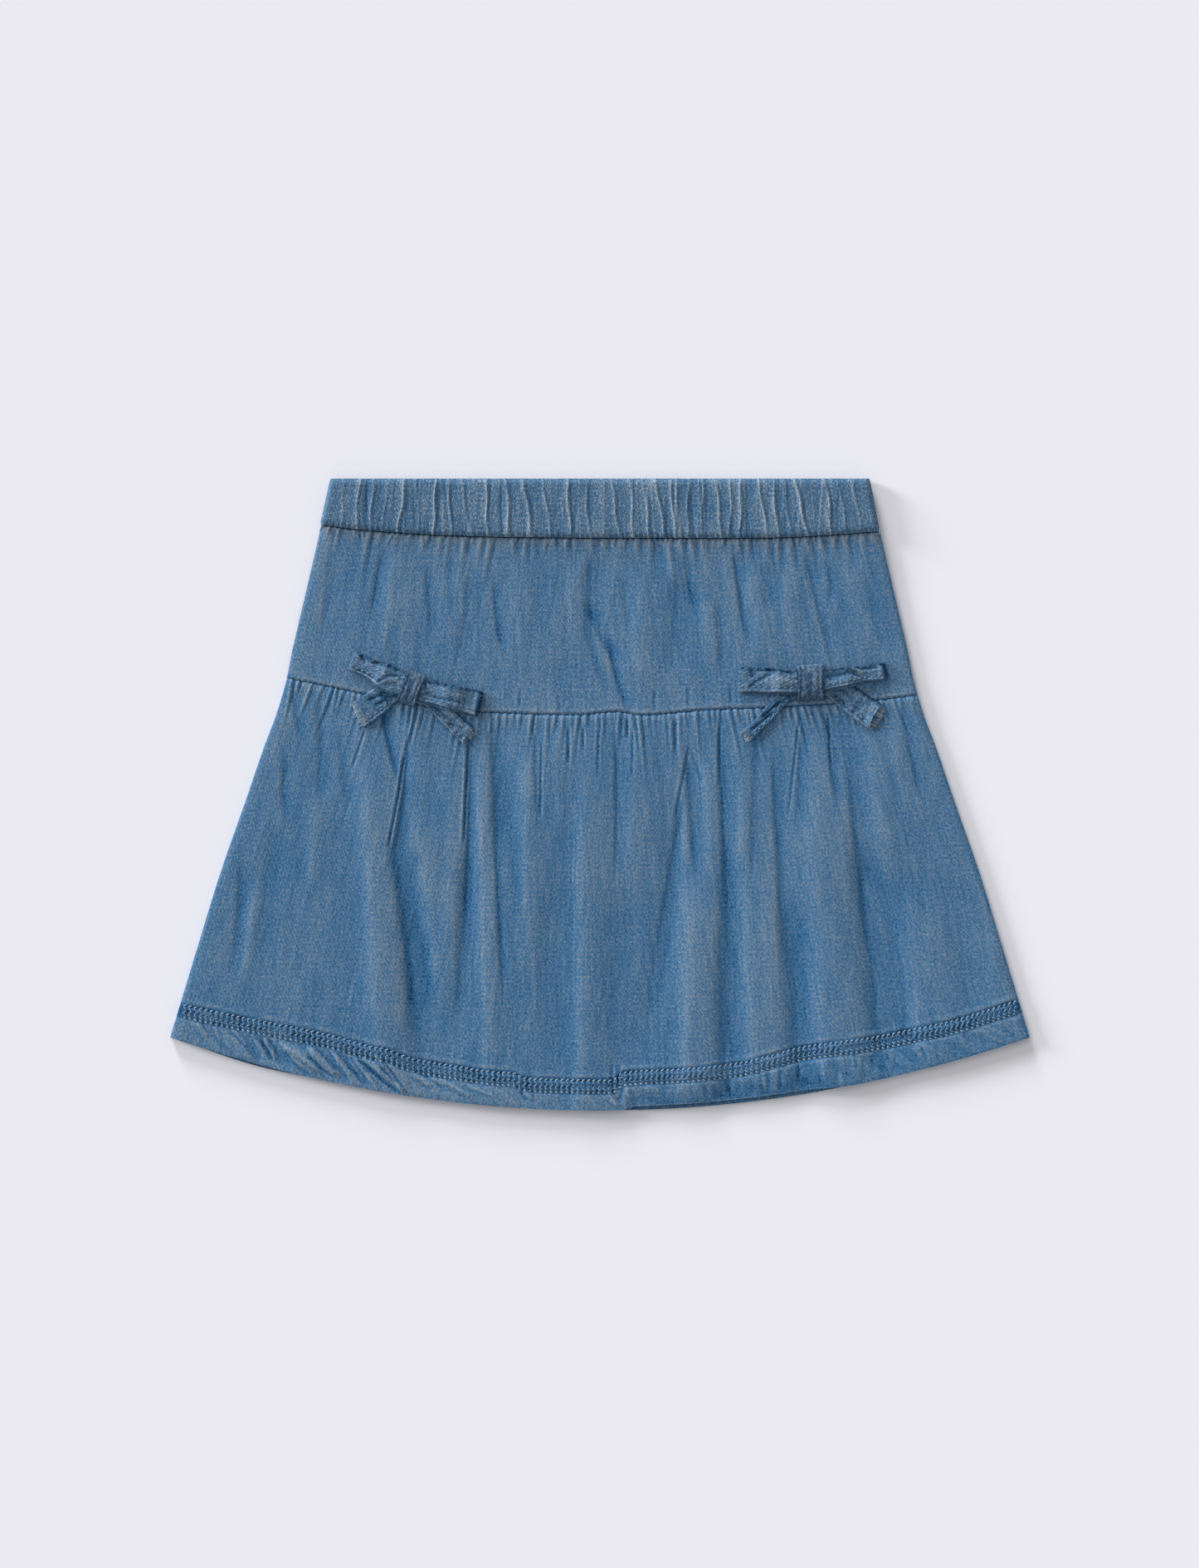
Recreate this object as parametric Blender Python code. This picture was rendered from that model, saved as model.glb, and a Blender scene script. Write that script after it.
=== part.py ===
"""A child's tiered denim skirt with an elastic waist and two bows, lying flat on its back.

Looking down on the front, +X is to the right and +Y towards the waist. Z = 0 is what it lies on.
Sizes are in millimetres and become metres where a mesh is made.
"""

import math
from collections import namedtuple

import bmesh
import bpy
from mathutils import Vector
from mathutils.bvhtree import BVHTree

MM = 0.001

# Driving dimensions of the skirt laid flat.
LENGTH = 300.0
TOP_Y = LENGTH / 2
CLOTH = 1.0
SEAM_GAP = 0.3

# Heights of the two layers: the back lies on the surface, and the front lies on the back.
BACK_TOP = CLOTH
FRONT_LOWEST = BACK_TOP + SEAM_GAP + CLOTH
FRONT_LOFT = 1.9
LOFT_WIDTH = 8.0
LOFT_SOFT_LIMIT = 2.7
LOFT_ABOVE_LIMIT = 0.55
WAIST_LIFT = 0.9
WAIST_LIFT_REACH = 14.0
SEAM_LIFT = 0.5
SEAM_LIFT_REACH = 5.0
SEAM_GROOVE = 0.7
SEAM_GROOVE_REACH = 1.1

# The casing round the elastic.
BAND_WALL = 2.6
BAND_SLOT = 0.6
BAND_HEIGHT = BAND_WALL * 2 + BAND_SLOT

# Gathers, counted across one side of the skirt.
YOKE_GATHERS = 70
YOKE_GATHER_RISE = 0.9
YOKE_GATHER_REACH = 7.0
FLOUNCE_GATHERS = 68
FLOUNCE_GATHER_RISE = 1.3
FLOUNCE_GATHER_REACH = 19.0
COLUMNS_PER_GATHER = 2

# The turned-up hem, sewn with two needles.
NEEDLE_GAUGE = 6.4
HEM_EXTRA = 0.35
HEM_EXTRA_REACH = 2.5
HEM_ROUNDING = 1.2
STITCH_GROOVE = 0.4
STITCH_GROOVE_REACH = 2.2
BACK_HEM_PEEK = 1.6
HemStretch = namedtuple("HemStretch", "middle reach")
BACK_HEM_STRETCHES = (HemStretch(84, 34), HemStretch(-172, 26))

# Colours of the cloth, one for each kind of piece.
WAISTBAND_CLOTH = (0.089, 0.168, 0.270, 1.0)
SKIRT_CLOTH = (0.082, 0.162, 0.266, 1.0)
BOW_CLOTH = (0.076, 0.152, 0.250, 1.0)
ROUGHNESS = 0.85

COLLECTION = "Skirt"
SMOOTH_ANGLE = 22

# Half the skirt's width at a height, from the waist down to the corners of the hem.
Outline = namedtuple("Outline", "y half_width")
OUTLINE = (
    Outline(150, 128.3),
    Outline(123, 133.6),
    Outline(70, 145.9),
    Outline(54, 149.2),
    Outline(38, 153.9),
    Outline(23, 159.6),
    Outline(-1, 167.8),
    Outline(-37, 180.4),
    Outline(-76, 192.4),
    Outline(-115, 204.2),
)

# Lines across the skirt, each from the left edge to the right.
LinePoint = namedtuple("LinePoint", "x y")
WAIST_SEAM = (
    LinePoint(-134, 128.4),
    LinePoint(-115, 125.9),
    LinePoint(-80, 123.4),
    LinePoint(-40, 122.2),
    LinePoint(40, 121.8),
    LinePoint(90, 122.2),
    LinePoint(134, 125.0),
)
YOKE_SEAM = (
    LinePoint(-150, 55.6),
    LinePoint(-130, 51.6),
    LinePoint(-105, 46.2),
    LinePoint(-75, 40.8),
    LinePoint(-50, 39.0),
    LinePoint(-10, 38.0),
    LinePoint(8, 39.4),
    LinePoint(20, 37.8),
    LinePoint(50, 40.2),
    LinePoint(85, 41.6),
    LinePoint(125, 44.2),
    LinePoint(150, 47.2),
)
HEM_STITCH = (
    LinePoint(-200, -99),
    LinePoint(-170, -105.5),
    LinePoint(-130, -113.5),
    LinePoint(-100, -121.5),
    LinePoint(-50, -131.5),
    LinePoint(-10, -135),
    LinePoint(20, -131.5),
    LinePoint(60, -128),
    LinePoint(95, -120),
    LinePoint(130, -115),
    LinePoint(170, -106.5),
    LinePoint(200, -97),
)
HEM_MIDDLE_Y = -LENGTH / 2
HEM_CORNER = LinePoint(204.2, -115.3)

# Ridges of the gathered waistband: where each meets the top edge and the seam, and its height.
BandRidge = namedtuple("BandRidge", "x_top x_seam rise")
BAND_RIDGES = (
    BandRidge(-121, -123, 0.5),
    BandRidge(-114, -116, 0.9),
    BandRidge(-107.5, -109, 0.7),
    BandRidge(-101, -103, 0.4),
    BandRidge(-92.5, -96, 1.0),
    BandRidge(-87, -86, 0.4),
    BandRidge(-77.5, -79.5, 1.2),
    BandRidge(-72, -70.5, 0.8),
    BandRidge(-66, -61.5, 0.8),
    BandRidge(-54.5, -53, 1.0),
    BandRidge(-44.5, -43, 1.0),
    BandRidge(-36.5, -32.5, 1.2),
    BandRidge(-27, -23.5, 0.8),
    BandRidge(-15.5, -14, 1.2),
    BandRidge(-7, -5, 0.7),
    BandRidge(5, 9.5, 0.9),
    BandRidge(14.5, 16, 0.9),
    BandRidge(20.5, 23.5, 0.8),
    BandRidge(26.5, 30.5, 1.1),
    BandRidge(33.5, 35.5, 0.9),
    BandRidge(42, 41.5, 0.7),
    BandRidge(49, 48, 0.5),
    BandRidge(54.5, 58, 0.8),
    BandRidge(62, 61.5, 0.8),
    BandRidge(67, 66, 1.1),
    BandRidge(75.5, 79, 0.9),
    BandRidge(82, 84.5, 1.0),
    BandRidge(87, 91, 0.6),
    BandRidge(92, 99, 1.3),
    BandRidge(107, 110, 0.9),
    BandRidge(113, 117, 0.5),
    BandRidge(120, 124, 0.6),
)
RIDGE_HALF_WIDTH = 1.3
RIDGE_FOOT_DIP = 0.25
PUFF_RISE = 0.45
BACK_BAND_STATIONS = 26
TURN_STATIONS = 4

# The band's section, up its outer side and down its inner side: the share of its height and
# what is added to that, the offset from the middle of its wall, and the share of a ridge's rise.
BAND_HALF = BAND_WALL / 2
BAND_TURN = BAND_HALF + BAND_SLOT / 2
BandPoint = namedtuple("BandPoint", "height inset offset ridge")
BAND_SECTION = (
    BandPoint(0, 0.0, BAND_HALF - 0.7, 0.3),
    BandPoint(0, 2.2, BAND_HALF, 0.9),
    BandPoint(0.5, 0.0, BAND_HALF, 1.0),
    BandPoint(1, -2.4, BAND_HALF, 1.0),
    BandPoint(1, -0.7, BAND_HALF - 0.5, 0.9),
    BandPoint(1, 0.0, BAND_HALF - 1.4, 0.3),
    BandPoint(1, -0.6, -BAND_HALF, 0.0),
    BandPoint(0, 0.0, -BAND_HALF, 0.0),
)

# Long folds of a front panel: the path runs from y_top to y_end, and a trough has a negative rise.
Fold = namedtuple("Fold", "y_top x_top x_mid y_end x_end width rise")
YOKE_FOLDS = (
    Fold(120, -125, -129, 60, -133, 4.0, -0.8),
    Fold(119, -103, -107, 82, -110, 2.6, -0.9),
    Fold(118, -99, -101, 66, -104, 7.0, 0.7),
    Fold(112, -83.5, -82, 76, -80, 2.4, -0.7),
    Fold(110, -73, -72, 62, -71, 5.0, 0.6),
    Fold(112, -63, -62, 62, -66, 4.5, -0.8),
    Fold(104, -51, -49.5, 52, -45, 3.0, -1.3),
    Fold(116, -41, -41, 60, -40, 3.5, 0.8),
    Fold(105, -26, -25, 55, -26, 8.0, 0.8),
    Fold(112, -12, -10, 50, -9, 3.5, 0.7),
    Fold(110, -6, -5, 68, 2, 4.5, -1.7),
    Fold(80, -2, 5, 40, 14, 3.6, -1.9),
    Fold(68, -6, -2, 46, 3, 2.4, -0.9),
    Fold(106, 9, 12, 76, 14, 4.0, -0.5),
    Fold(100, 20, 19, 45, 17, 5.0, 1.0),
    Fold(117, 40, 42, 86, 46, 2.4, -1.0),
    Fold(104, 33, 33, 52, 31, 5.0, -0.7),
    Fold(116, 62, 61, 55, 61, 4.0, 0.8),
    Fold(95, 57, 56, 60, 56, 3.0, -0.8),
    Fold(114, 64, 67, 62, 70, 2.8, -1.5),
    Fold(100, 74, 74, 60, 74, 4.0, 0.6),
    Fold(112, 77, 78, 84, 78, 2.6, -0.6),
    Fold(100, 87, 86, 62, 88, 3.0, -0.6),
    Fold(105, 94, 96, 62, 97, 5.0, 0.9),
    Fold(114, 98, 103, 60, 110, 3.4, -1.2),
    Fold(100, 113, 116, 60, 118, 6.0, 0.6),
    Fold(112, 120, 125, 65, 129, 4.5, -0.7),
)
FLOUNCE_FOLDS = (
    Fold(48, -134, -136, -15, -139, 4.0, -1.0),
    Fold(34, -111, -119, -20, -128, 3.4, -0.8),
    Fold(42, -104, -98, 8, -95, 4.0, -1.7),
    Fold(40, -91, -95, -24, -101, 2.8, -1.9),
    Fold(-8, -99, -94, -104, -95, 3.6, -2.0),
    Fold(34, -63, -62.5, -110, -67.5, 2.4, -2.1),
    Fold(38, -50, -52, -32, -50, 4.0, -1.5),
    Fold(18, -44, -47.5, -100, -45.5, 2.4, -0.9),
    Fold(37, -27, -28, -45, -31, 2.6, -1.2),
    Fold(28, -21, -22, -30, -19, 4.0, -0.7),
    Fold(38, -1, -2.5, -46, -2, 2.2, -1.0),
    Fold(36, 7, 7, -36, 6, 3.0, -1.1),
    Fold(37, 23, 18, -24, 12, 2.2, -0.9),
    Fold(24, 40, 32.5, -88, 25, 2.8, -2.1),
    Fold(16, 41, 43.5, -40, 44, 4.0, -1.8),
    Fold(39, 57, 60, -136, 59, 3.8, -2.1),
    Fold(32, 76, 75, -50, 73, 3.2, -0.9),
    Fold(30, 82, 86, -124, 88, 4.2, -1.6),
    Fold(37, 95, 92, -20, 88, 2.4, -1.0),
    Fold(38, 108, 109, 0, 110, 2.4, -0.8),
    Fold(24, 115, 124, -118, 124, 5.0, -1.6),
    Fold(26, 134, 140, -60, 146, 5.0, -0.7),
    Fold(-20, -152, -160, -85, -166, 4.2, -0.7),
    Fold(4, -144, -151, -112, -160, 8.0, 0.9),
    Fold(30, -122, -111, -130, -114, 7.0, 1.5),
    Fold(28, -83, -83, -122, -77, 6.0, 1.4),
    Fold(24, -72, -73, -60, -73, 5.0, 0.7),
    Fold(14, -57, -56, -136, -56, 4.0, 1.2),
    Fold(24, -38, -38, -88, -36, 5.0, 1.3),
    Fold(24, -11, -9.5, -138, -13, 4.6, 1.2),
    Fold(14, 15, 14, -62, 14, 5.0, 0.7),
    Fold(10, 38.5, 38.5, -26, 37, 2.6, 0.9),
    Fold(18, 50, 50, -42, 46, 4.0, 1.0),
    Fold(-30, 43, 43, -134, 41, 6.0, 1.6),
    Fold(24, 66, 67, -130, 72, 5.0, 1.3),
    Fold(-42, 78, 79, -124, 82, 4.0, 0.8),
    Fold(32, 102, 105, -137, 107, 8.0, 1.4),
    Fold(22, 128, 138, -117, 146, 8.0, 1.3),
    Fold(-36, 160, 166, -112, 172, 7.0, 0.9),
)
FOLD_START = 0.12
FOLD_FADE = 0.35

# Bows: the knot's middle and size, and the left and right ends and widths of the loops and tails.
Bow = namedtuple("Bow", "name knot knot_width knot_height loops loop_widths tails tail_widths")
BOWS = (
    Bow(
        name="bow_left",
        knot=(-92.5, 50.5),
        knot_width=9.0,
        knot_height=15.0,
        loops=((-116.5, 61.0), (-57.5, 44.0)),
        loop_widths=(10.0, 10.0),
        tails=((-115.5, 36.0), (-62.0, 27.5)),
        tail_widths=(10.5, 8.5),
    ),
    Bow(
        name="bow_right",
        knot=(98.5, 53.0),
        knot_width=12.0,
        knot_height=16.0,
        loops=((67.5, 54.0), (134.5, 58.0)),
        loop_widths=(10.5, 7.0),
        tails=((69.5, 28.0), (129.0, 36.0)),
        tail_widths=(6.5, 10.5),
    ),
)
LOOP_WIDTH_AT_KNOT = 9.0
TAIL_WIDTH_AT_KNOT = 8.0
STRIP_FULL_WIDTH = 0.6
STRIP_EDGE = 0.9
STRIP_SPANS = 24
TAIL_THICKNESS = 1.6
LOOP_PUFF = 1.5
LOOP_GAP_AT_KNOT = 0.3
LOOP_GAP_AT_END = 0.7
LOOP_TURN_ANGLES = tuple(math.radians(angle) for angle in (45, 90, 135))

# Half of the knot's arch, from its foot to its crest: the share of its reach, how far down from
# its shoulder to its foot, what is added to that, and the lean of its outer side in degrees.
ArchRow = namedtuple("ArchRow", "reach down rise lean")
KNOT_ARCH = (
    ArchRow(1.0, 1.0, 0.2, 90),
    ArchRow(1.0, 0.5, 0.0, 90),
    ArchRow(0.93, 0.0, 0.0, 60),
    ArchRow(0.72, 0.0, 1.2, 30),
    ArchRow(0.35, 0.0, 1.65, 8),
    ArchRow(0.0, 0.0, 1.75, 0),
)
KNOT_FOOT_SPREAD = 1.5

# A strip lies on the highest of the points looked at under its section.
PROBES = 4
PROBE_MARGIN = 0.6
UP = Vector((0, 0, 1))


def curve_through(rows):
    """A smooth function through a table's two columns, straight beyond its ends."""
    points = sorted(rows)
    slopes = [
        (points[min(i + 1, len(points) - 1)][1] - points[max(i - 1, 0)][1])
        / (points[min(i + 1, len(points) - 1)][0] - points[max(i - 1, 0)][0])
        for i in range(len(points))
    ]

    def value(at):
        if at <= points[0][0]:
            return points[0][1] + slopes[0] * (at - points[0][0])
        if at >= points[-1][0]:
            return points[-1][1] + slopes[-1] * (at - points[-1][0])
        i = max(k for k in range(len(points) - 1) if points[k][0] <= at)
        span = points[i + 1][0] - points[i][0]
        t = (at - points[i][0]) / span
        return (
            points[i][1] * (1 + 2 * t) * (1 - t) ** 2
            + slopes[i] * span * t * (1 - t) ** 2
            + points[i + 1][1] * t * t * (3 - 2 * t)
            + slopes[i + 1] * span * t * t * (t - 1)
        )

    return value


half_width = curve_through(OUTLINE)
waist_seam = curve_through(WAIST_SEAM)
yoke_seam = curve_through(YOKE_SEAM)
hem_stitch = curve_through(HEM_STITCH)

# Where the band turns round to the back, at its top edge and at its seam.
WAIST_TURN_TOP = half_width(TOP_Y) - BAND_HEIGHT / 2
WAIST_TURN_SEAM = half_width(WAIST_SEAM[-1].y) - BAND_HEIGHT / 2


def hem_edge(x):
    """The hem's lower edge: a shallow arc, lowest in the middle."""
    return HEM_MIDDLE_Y + (HEM_CORNER.y - HEM_MIDDLE_Y) * (x / HEM_CORNER.x) ** 2


def back_hem_edge(x):
    """The back's hem, which shows a little below the front's in two stretches."""
    peek = sum(smooth_bump(x, stretch.middle, stretch.reach) for stretch in BACK_HEM_STRETCHES)
    return hem_edge(x) - BACK_HEM_PEEK * peek


def smooth_step(t):
    t = min(max(t, 0.0), 1.0)
    return t * t * (3 - 2 * t)


def smooth_bump(at, middle, reach):
    """1 in the middle, and 0 from reach outwards."""
    return smooth_step(1 - abs(at - middle) / reach)


def vary(index, salt):
    """A fixed value from 0 to 1 for each index, so that repeats differ."""
    value = math.sin(index * 12.9898 + salt * 78.233) * 43758.5453
    return value - math.floor(value)


def fold_rise(folds, x, y):
    """What the long folds add to the height at a point."""
    total = 0.0
    for fold in folds:
        s = (fold.y_top - y) / (fold.y_top - fold.y_end)
        if not 0 < s < 1:
            continue
        path = (
            fold.x_top * (1 - s) * (1 - 2 * s)
            + fold.x_mid * 4 * s * (1 - s)
            + fold.x_end * s * (2 * s - 1)
        )
        along = smooth_step(s / FOLD_START) * smooth_step((1 - s) / FOLD_FADE)
        total += fold.rise * along * math.exp(-(((x - path) / fold.width) ** 2))
    return total


def gather_rise(across, below, count, rise, reach):
    """Height of the gathers at a share of the width, from -1 to 1, and a distance below their seam."""
    position = (across + 1) / 2 * count
    index = min(int(position), count - 1)
    crest = 0.5 - 0.5 * math.cos(2 * math.pi * (position - index))
    size = rise * (0.5 + 0.5 * vary(index, 1))
    length = reach * (0.45 + 0.9 * vary(index, 2))
    return size * crest * math.exp(-((below / length) ** 2))


def front_form(folds, x, y):
    """The front's upper side without its gathers, seams or hem."""
    inside = half_width(y) - abs(x)
    loft = FRONT_LOFT * (1 - math.exp(-max(inside, 0) / LOFT_WIDTH))
    spread = smooth_step(inside / LOFT_WIDTH)
    height = loft + spread * fold_rise(folds, x, y)
    if height > LOFT_SOFT_LIMIT:
        height = LOFT_SOFT_LIMIT + (height - LOFT_SOFT_LIMIT) * LOFT_ABOVE_LIMIT
    return FRONT_LOWEST + max(height, 0.0)


def seam_relief(distance):
    """The allowance under a seam lifts the cloth beside it, and the stitches pull the edge in."""
    lift = SEAM_LIFT * math.exp(-((distance / SEAM_LIFT_REACH) ** 2))
    return lift - SEAM_GROOVE * math.exp(-((distance / SEAM_GROOVE_REACH) ** 2))


def yoke_under(x, y):
    below_waist = waist_seam(x) - y
    lift = WAIST_LIFT * math.exp(-below_waist / WAIST_LIFT_REACH)
    return front_form(YOKE_FOLDS, x, y) + lift - CLOTH


def yoke_top(x, y):
    inside = yoke_under(x, y) + CLOTH
    across = x / half_width(y)
    gathers = gather_rise(
        across, waist_seam(x) - y, YOKE_GATHERS, YOKE_GATHER_RISE, YOKE_GATHER_REACH
    )
    return max(inside + gathers + seam_relief(y - yoke_seam(x)), inside)


def flounce_under(x, y):
    return front_form(FLOUNCE_FOLDS, x, y) - CLOTH


def hem_relief(x, y):
    """The turned-up hem is thicker below its stitches, which pull it in."""
    under_stitch = hem_stitch(x) - y
    doubled = HEM_EXTRA * smooth_step(under_stitch / HEM_EXTRA_REACH)
    rounding = HEM_EXTRA * smooth_bump(y, hem_edge(x), HEM_ROUNDING)
    from_stitches = under_stitch - NEEDLE_GAUGE / 2
    groove = STITCH_GROOVE * math.exp(-((from_stitches / STITCH_GROOVE_REACH) ** 2))
    return doubled - rounding - groove


def flounce_top(x, y):
    inside = flounce_under(x, y) + CLOTH
    below = yoke_seam(x) - y
    across = x / half_width(y)
    gathers = gather_rise(
        across, below, FLOUNCE_GATHERS, FLOUNCE_GATHER_RISE, FLOUNCE_GATHER_REACH
    )
    return max(inside + gathers + seam_relief(below) + hem_relief(x, y), inside)


def place(across, level):
    """The point of a line across the skirt at a share of its half width."""
    x = across * half_width(0)
    for _ in range(5):
        y = level(x)
        x = across * half_width(y)
    return x, y


def row(columns, level, height):
    """Points from the left edge to the right along a line, at the surface's height."""
    points = []
    for k in range(columns + 1):
        x, y = place(2 * k / columns - 1, level)
        points.append((x, y, height(x, y)))
    return points


def between(upper, lower, share):
    """A line at a share of the way from one line down to another."""
    return lambda x: upper(x) + (lower(x) - upper(x)) * share


def shifted(line, distance):
    return lambda x: line(x) + distance


def new_object(name, mesh_builder):
    """A closed mesh from a function that fills a bmesh in millimetres."""
    bm = bmesh.new()
    mesh_builder(bm)
    bmesh.ops.recalc_face_normals(bm, faces=bm.faces)
    bmesh.ops.scale(bm, vec=(MM, MM, MM), verts=bm.verts)
    mesh = bpy.data.meshes.new(name)
    bm.to_mesh(mesh)
    bm.free()
    mesh.shade_smooth()
    mesh.set_sharp_from_angle(angle=math.radians(SMOOTH_ANGLE))
    obj = bpy.data.objects.new(name, mesh)
    bpy.data.collections[COLLECTION].objects.link(obj)
    return obj


def join_rows(bm, first, second):
    """Faces between two rows with the same number of points."""
    for k in range(len(first) - 1):
        bm.faces.new((first[k], first[k + 1], second[k + 1], second[k]))


def zip_ends(bm, first, second):
    """Faces between two lines of points down a side edge, which may differ in number."""
    i = j = 0
    while i < len(first) - 1 or j < len(second) - 1:
        first_y = first[i + 1].co.y if i < len(first) - 1 else -math.inf
        second_y = second[j + 1].co.y if j < len(second) - 1 else -math.inf
        if first_y >= second_y:
            bm.faces.new((first[i], first[i + 1], second[j]))
            i += 1
        else:
            bm.faces.new((first[i], second[j + 1], second[j]))
            j += 1


def panel_wall(name, outer_rows, inner_rows):
    """A wall of cloth between its outer and its inner surface, each given as rows from the top."""

    def build(bm):
        outer, inner = (
            [[bm.verts.new(point) for point in points] for points in rows]
            for rows in (outer_rows, inner_rows)
        )
        for rows in (outer, inner):
            for upper, lower in zip(rows, rows[1:]):
                join_rows(bm, upper, lower)
        for end in (0, -1):
            join_rows(bm, outer[end], inner[end])
            zip_ends(bm, [points[end] for points in outer], [points[end] for points in inner])

    return new_object(name, build)


def tube_of_sections(name, sections, closed):
    """A solid through sections with the same number of points, in a ring or with two flat ends."""

    def build(bm):
        rings = [[bm.verts.new(point) for point in section] for section in sections]
        pairs = list(zip(rings, rings[1:]))
        if closed:
            pairs.append((rings[-1], rings[0]))
        else:
            bm.faces.new(rings[0])
            bm.faces.new(rings[-1])
        for ring, following in pairs:
            for k in range(len(ring)):
                after = (k + 1) % len(ring)
                bm.faces.new((ring[k], ring[after], following[after], following[k]))

    return new_object(name, build)


def front_band_stations():
    """The stations across the front of the band: a crest, its two feet and the puff beside it."""
    lines = [BandRidge(-WAIST_TURN_TOP, -WAIST_TURN_SEAM, 0), *BAND_RIDGES]
    lines.append(BandRidge(WAIST_TURN_TOP, WAIST_TURN_SEAM, 0))
    stations = []
    for before, ridge in zip(lines, lines[1:]):
        middle_top = (before.x_top + ridge.x_top) / 2
        middle_seam = (before.x_seam + ridge.x_seam) / 2
        stations.append(BandRidge(middle_top, middle_seam, PUFF_RISE))
        if ridge is lines[-1]:
            break
        for side, rise in ((-1, -RIDGE_FOOT_DIP), (0, ridge.rise), (1, -RIDGE_FOOT_DIP)):
            offset = side * RIDGE_HALF_WIDTH
            stations.append(BandRidge(ridge.x_top + offset, ridge.x_seam + offset, rise))
    return stations


def band_section(line, angle):
    """One section of the band, on the front at angle 0, on the back at half a turn."""
    outward = Vector((math.sin(angle), 0, math.cos(angle)))
    points = []
    for point in BAND_SECTION:
        x = line.x_seam + (line.x_top - line.x_seam) * point.height
        bottom = waist_seam(x) + SEAM_GAP / 2
        y = bottom + (TOP_Y - bottom) * point.height + point.inset
        offset = point.offset + line.rise * point.ridge
        points.append(Vector((x, y, BAND_HEIGHT / 2)) + outward * (BAND_TURN + offset))
    return points


def waistband():
    """A ring of elastic casing, flattened: gathered on the front and flat where it rests."""
    sections = [band_section(line, 0) for line in front_band_stations()]
    right_turn = BandRidge(WAIST_TURN_TOP, WAIST_TURN_SEAM, 0)
    left_turn = BandRidge(-WAIST_TURN_TOP, -WAIST_TURN_SEAM, 0)
    turn_angles = [math.pi * k / TURN_STATIONS for k in range(TURN_STATIONS + 1)]
    sections += [band_section(right_turn, angle) for angle in turn_angles]
    for k in range(1, BACK_BAND_STATIONS):
        share = 1 - 2 * k / BACK_BAND_STATIONS
        line = BandRidge(WAIST_TURN_TOP * share, WAIST_TURN_SEAM * share, 0)
        sections.append(band_section(line, math.pi))
    sections += [band_section(left_turn, math.pi + angle) for angle in turn_angles]
    return tube_of_sections("waistband", sections, closed=True)


def front_panel(name, top, last_fold, bottom, gathers, drops, bands, details, outside, inside):
    """A gathered front panel: outer rows near its seam, on down its folds and round its details,
    and inner rows under the same lines, but fewer where the outer side alone has small forms."""
    columns = gathers * COLUMNS_PER_GATHER
    gathered = shifted(top, -drops[-1])
    main = [between(gathered, last_fold, (k + 1) / bands) for k in range(bands)]
    outer = [shifted(top, -drop) for drop in drops] + main + details + [bottom]
    inner = [top, shifted(top, -drops[-2]), gathered] + main + [bottom]
    return panel_wall(
        name,
        [row(columns, line, outside) for line in outer],
        [row(columns, line, inside) for line in inner],
    )


def yoke_front():
    bottom = shifted(yoke_seam, SEAM_GAP / 2)
    return front_panel(
        name="yoke_front",
        top=shifted(waist_seam, -SEAM_GAP / 2),
        last_fold=shifted(bottom, 2.5),
        bottom=bottom,
        gathers=YOKE_GATHERS,
        drops=(0, 2, 6, 13),
        bands=5,
        details=[],
        outside=yoke_top,
        inside=yoke_under,
    )


def flounce_front():
    return front_panel(
        name="flounce_front",
        top=shifted(yoke_seam, -SEAM_GAP / 2),
        last_fold=hem_stitch,
        bottom=hem_edge,
        gathers=FLOUNCE_GATHERS,
        drops=(0, 2.5, 9, 20),
        bands=7,
        details=[
            shifted(hem_stitch, -NEEDLE_GAUGE / 2),
            shifted(hem_stitch, -NEEDLE_GAUGE * 1.2),
            shifted(hem_edge, HEM_ROUNDING),
        ],
        outside=flounce_top,
        inside=flounce_under,
    )


def back_panel(name, top, bottom, rows, columns):
    """A back panel: one thickness of cloth, flat on the surface."""
    shares = [k / rows for k in range(rows + 1)]
    upper, under = (
        [row(columns, between(top, bottom, share), lambda x, y: z) for share in shares]
        for z in (BACK_TOP, 0.0)
    )
    return panel_wall(name, upper, under)


def tree_of(obj):
    bm = bmesh.new()
    bm.from_mesh(obj.data)
    tree = BVHTree.FromBMesh(bm)
    bm.free()
    return tree


def ground_under(trees, point, side, half, spread):
    """The highest thing under a strip's section, looked for a little past its edges."""
    heights = []
    for step in range(-PROBES, PROBES + 1):
        across = side * ((half + PROBE_MARGIN) * step / PROBES)
        for along in (-spread, 0, spread):
            lengthwise = Vector((-side.y, side.x, 0)) * along
            start = (point + across + lengthwise) * MM
            for tree in trees:
                hit = tree.ray_cast(Vector((start.x, start.y, 1.0)), -UP)[0]
                if hit is not None:
                    heights.append(hit.z / MM)
    return max(heights)


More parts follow.
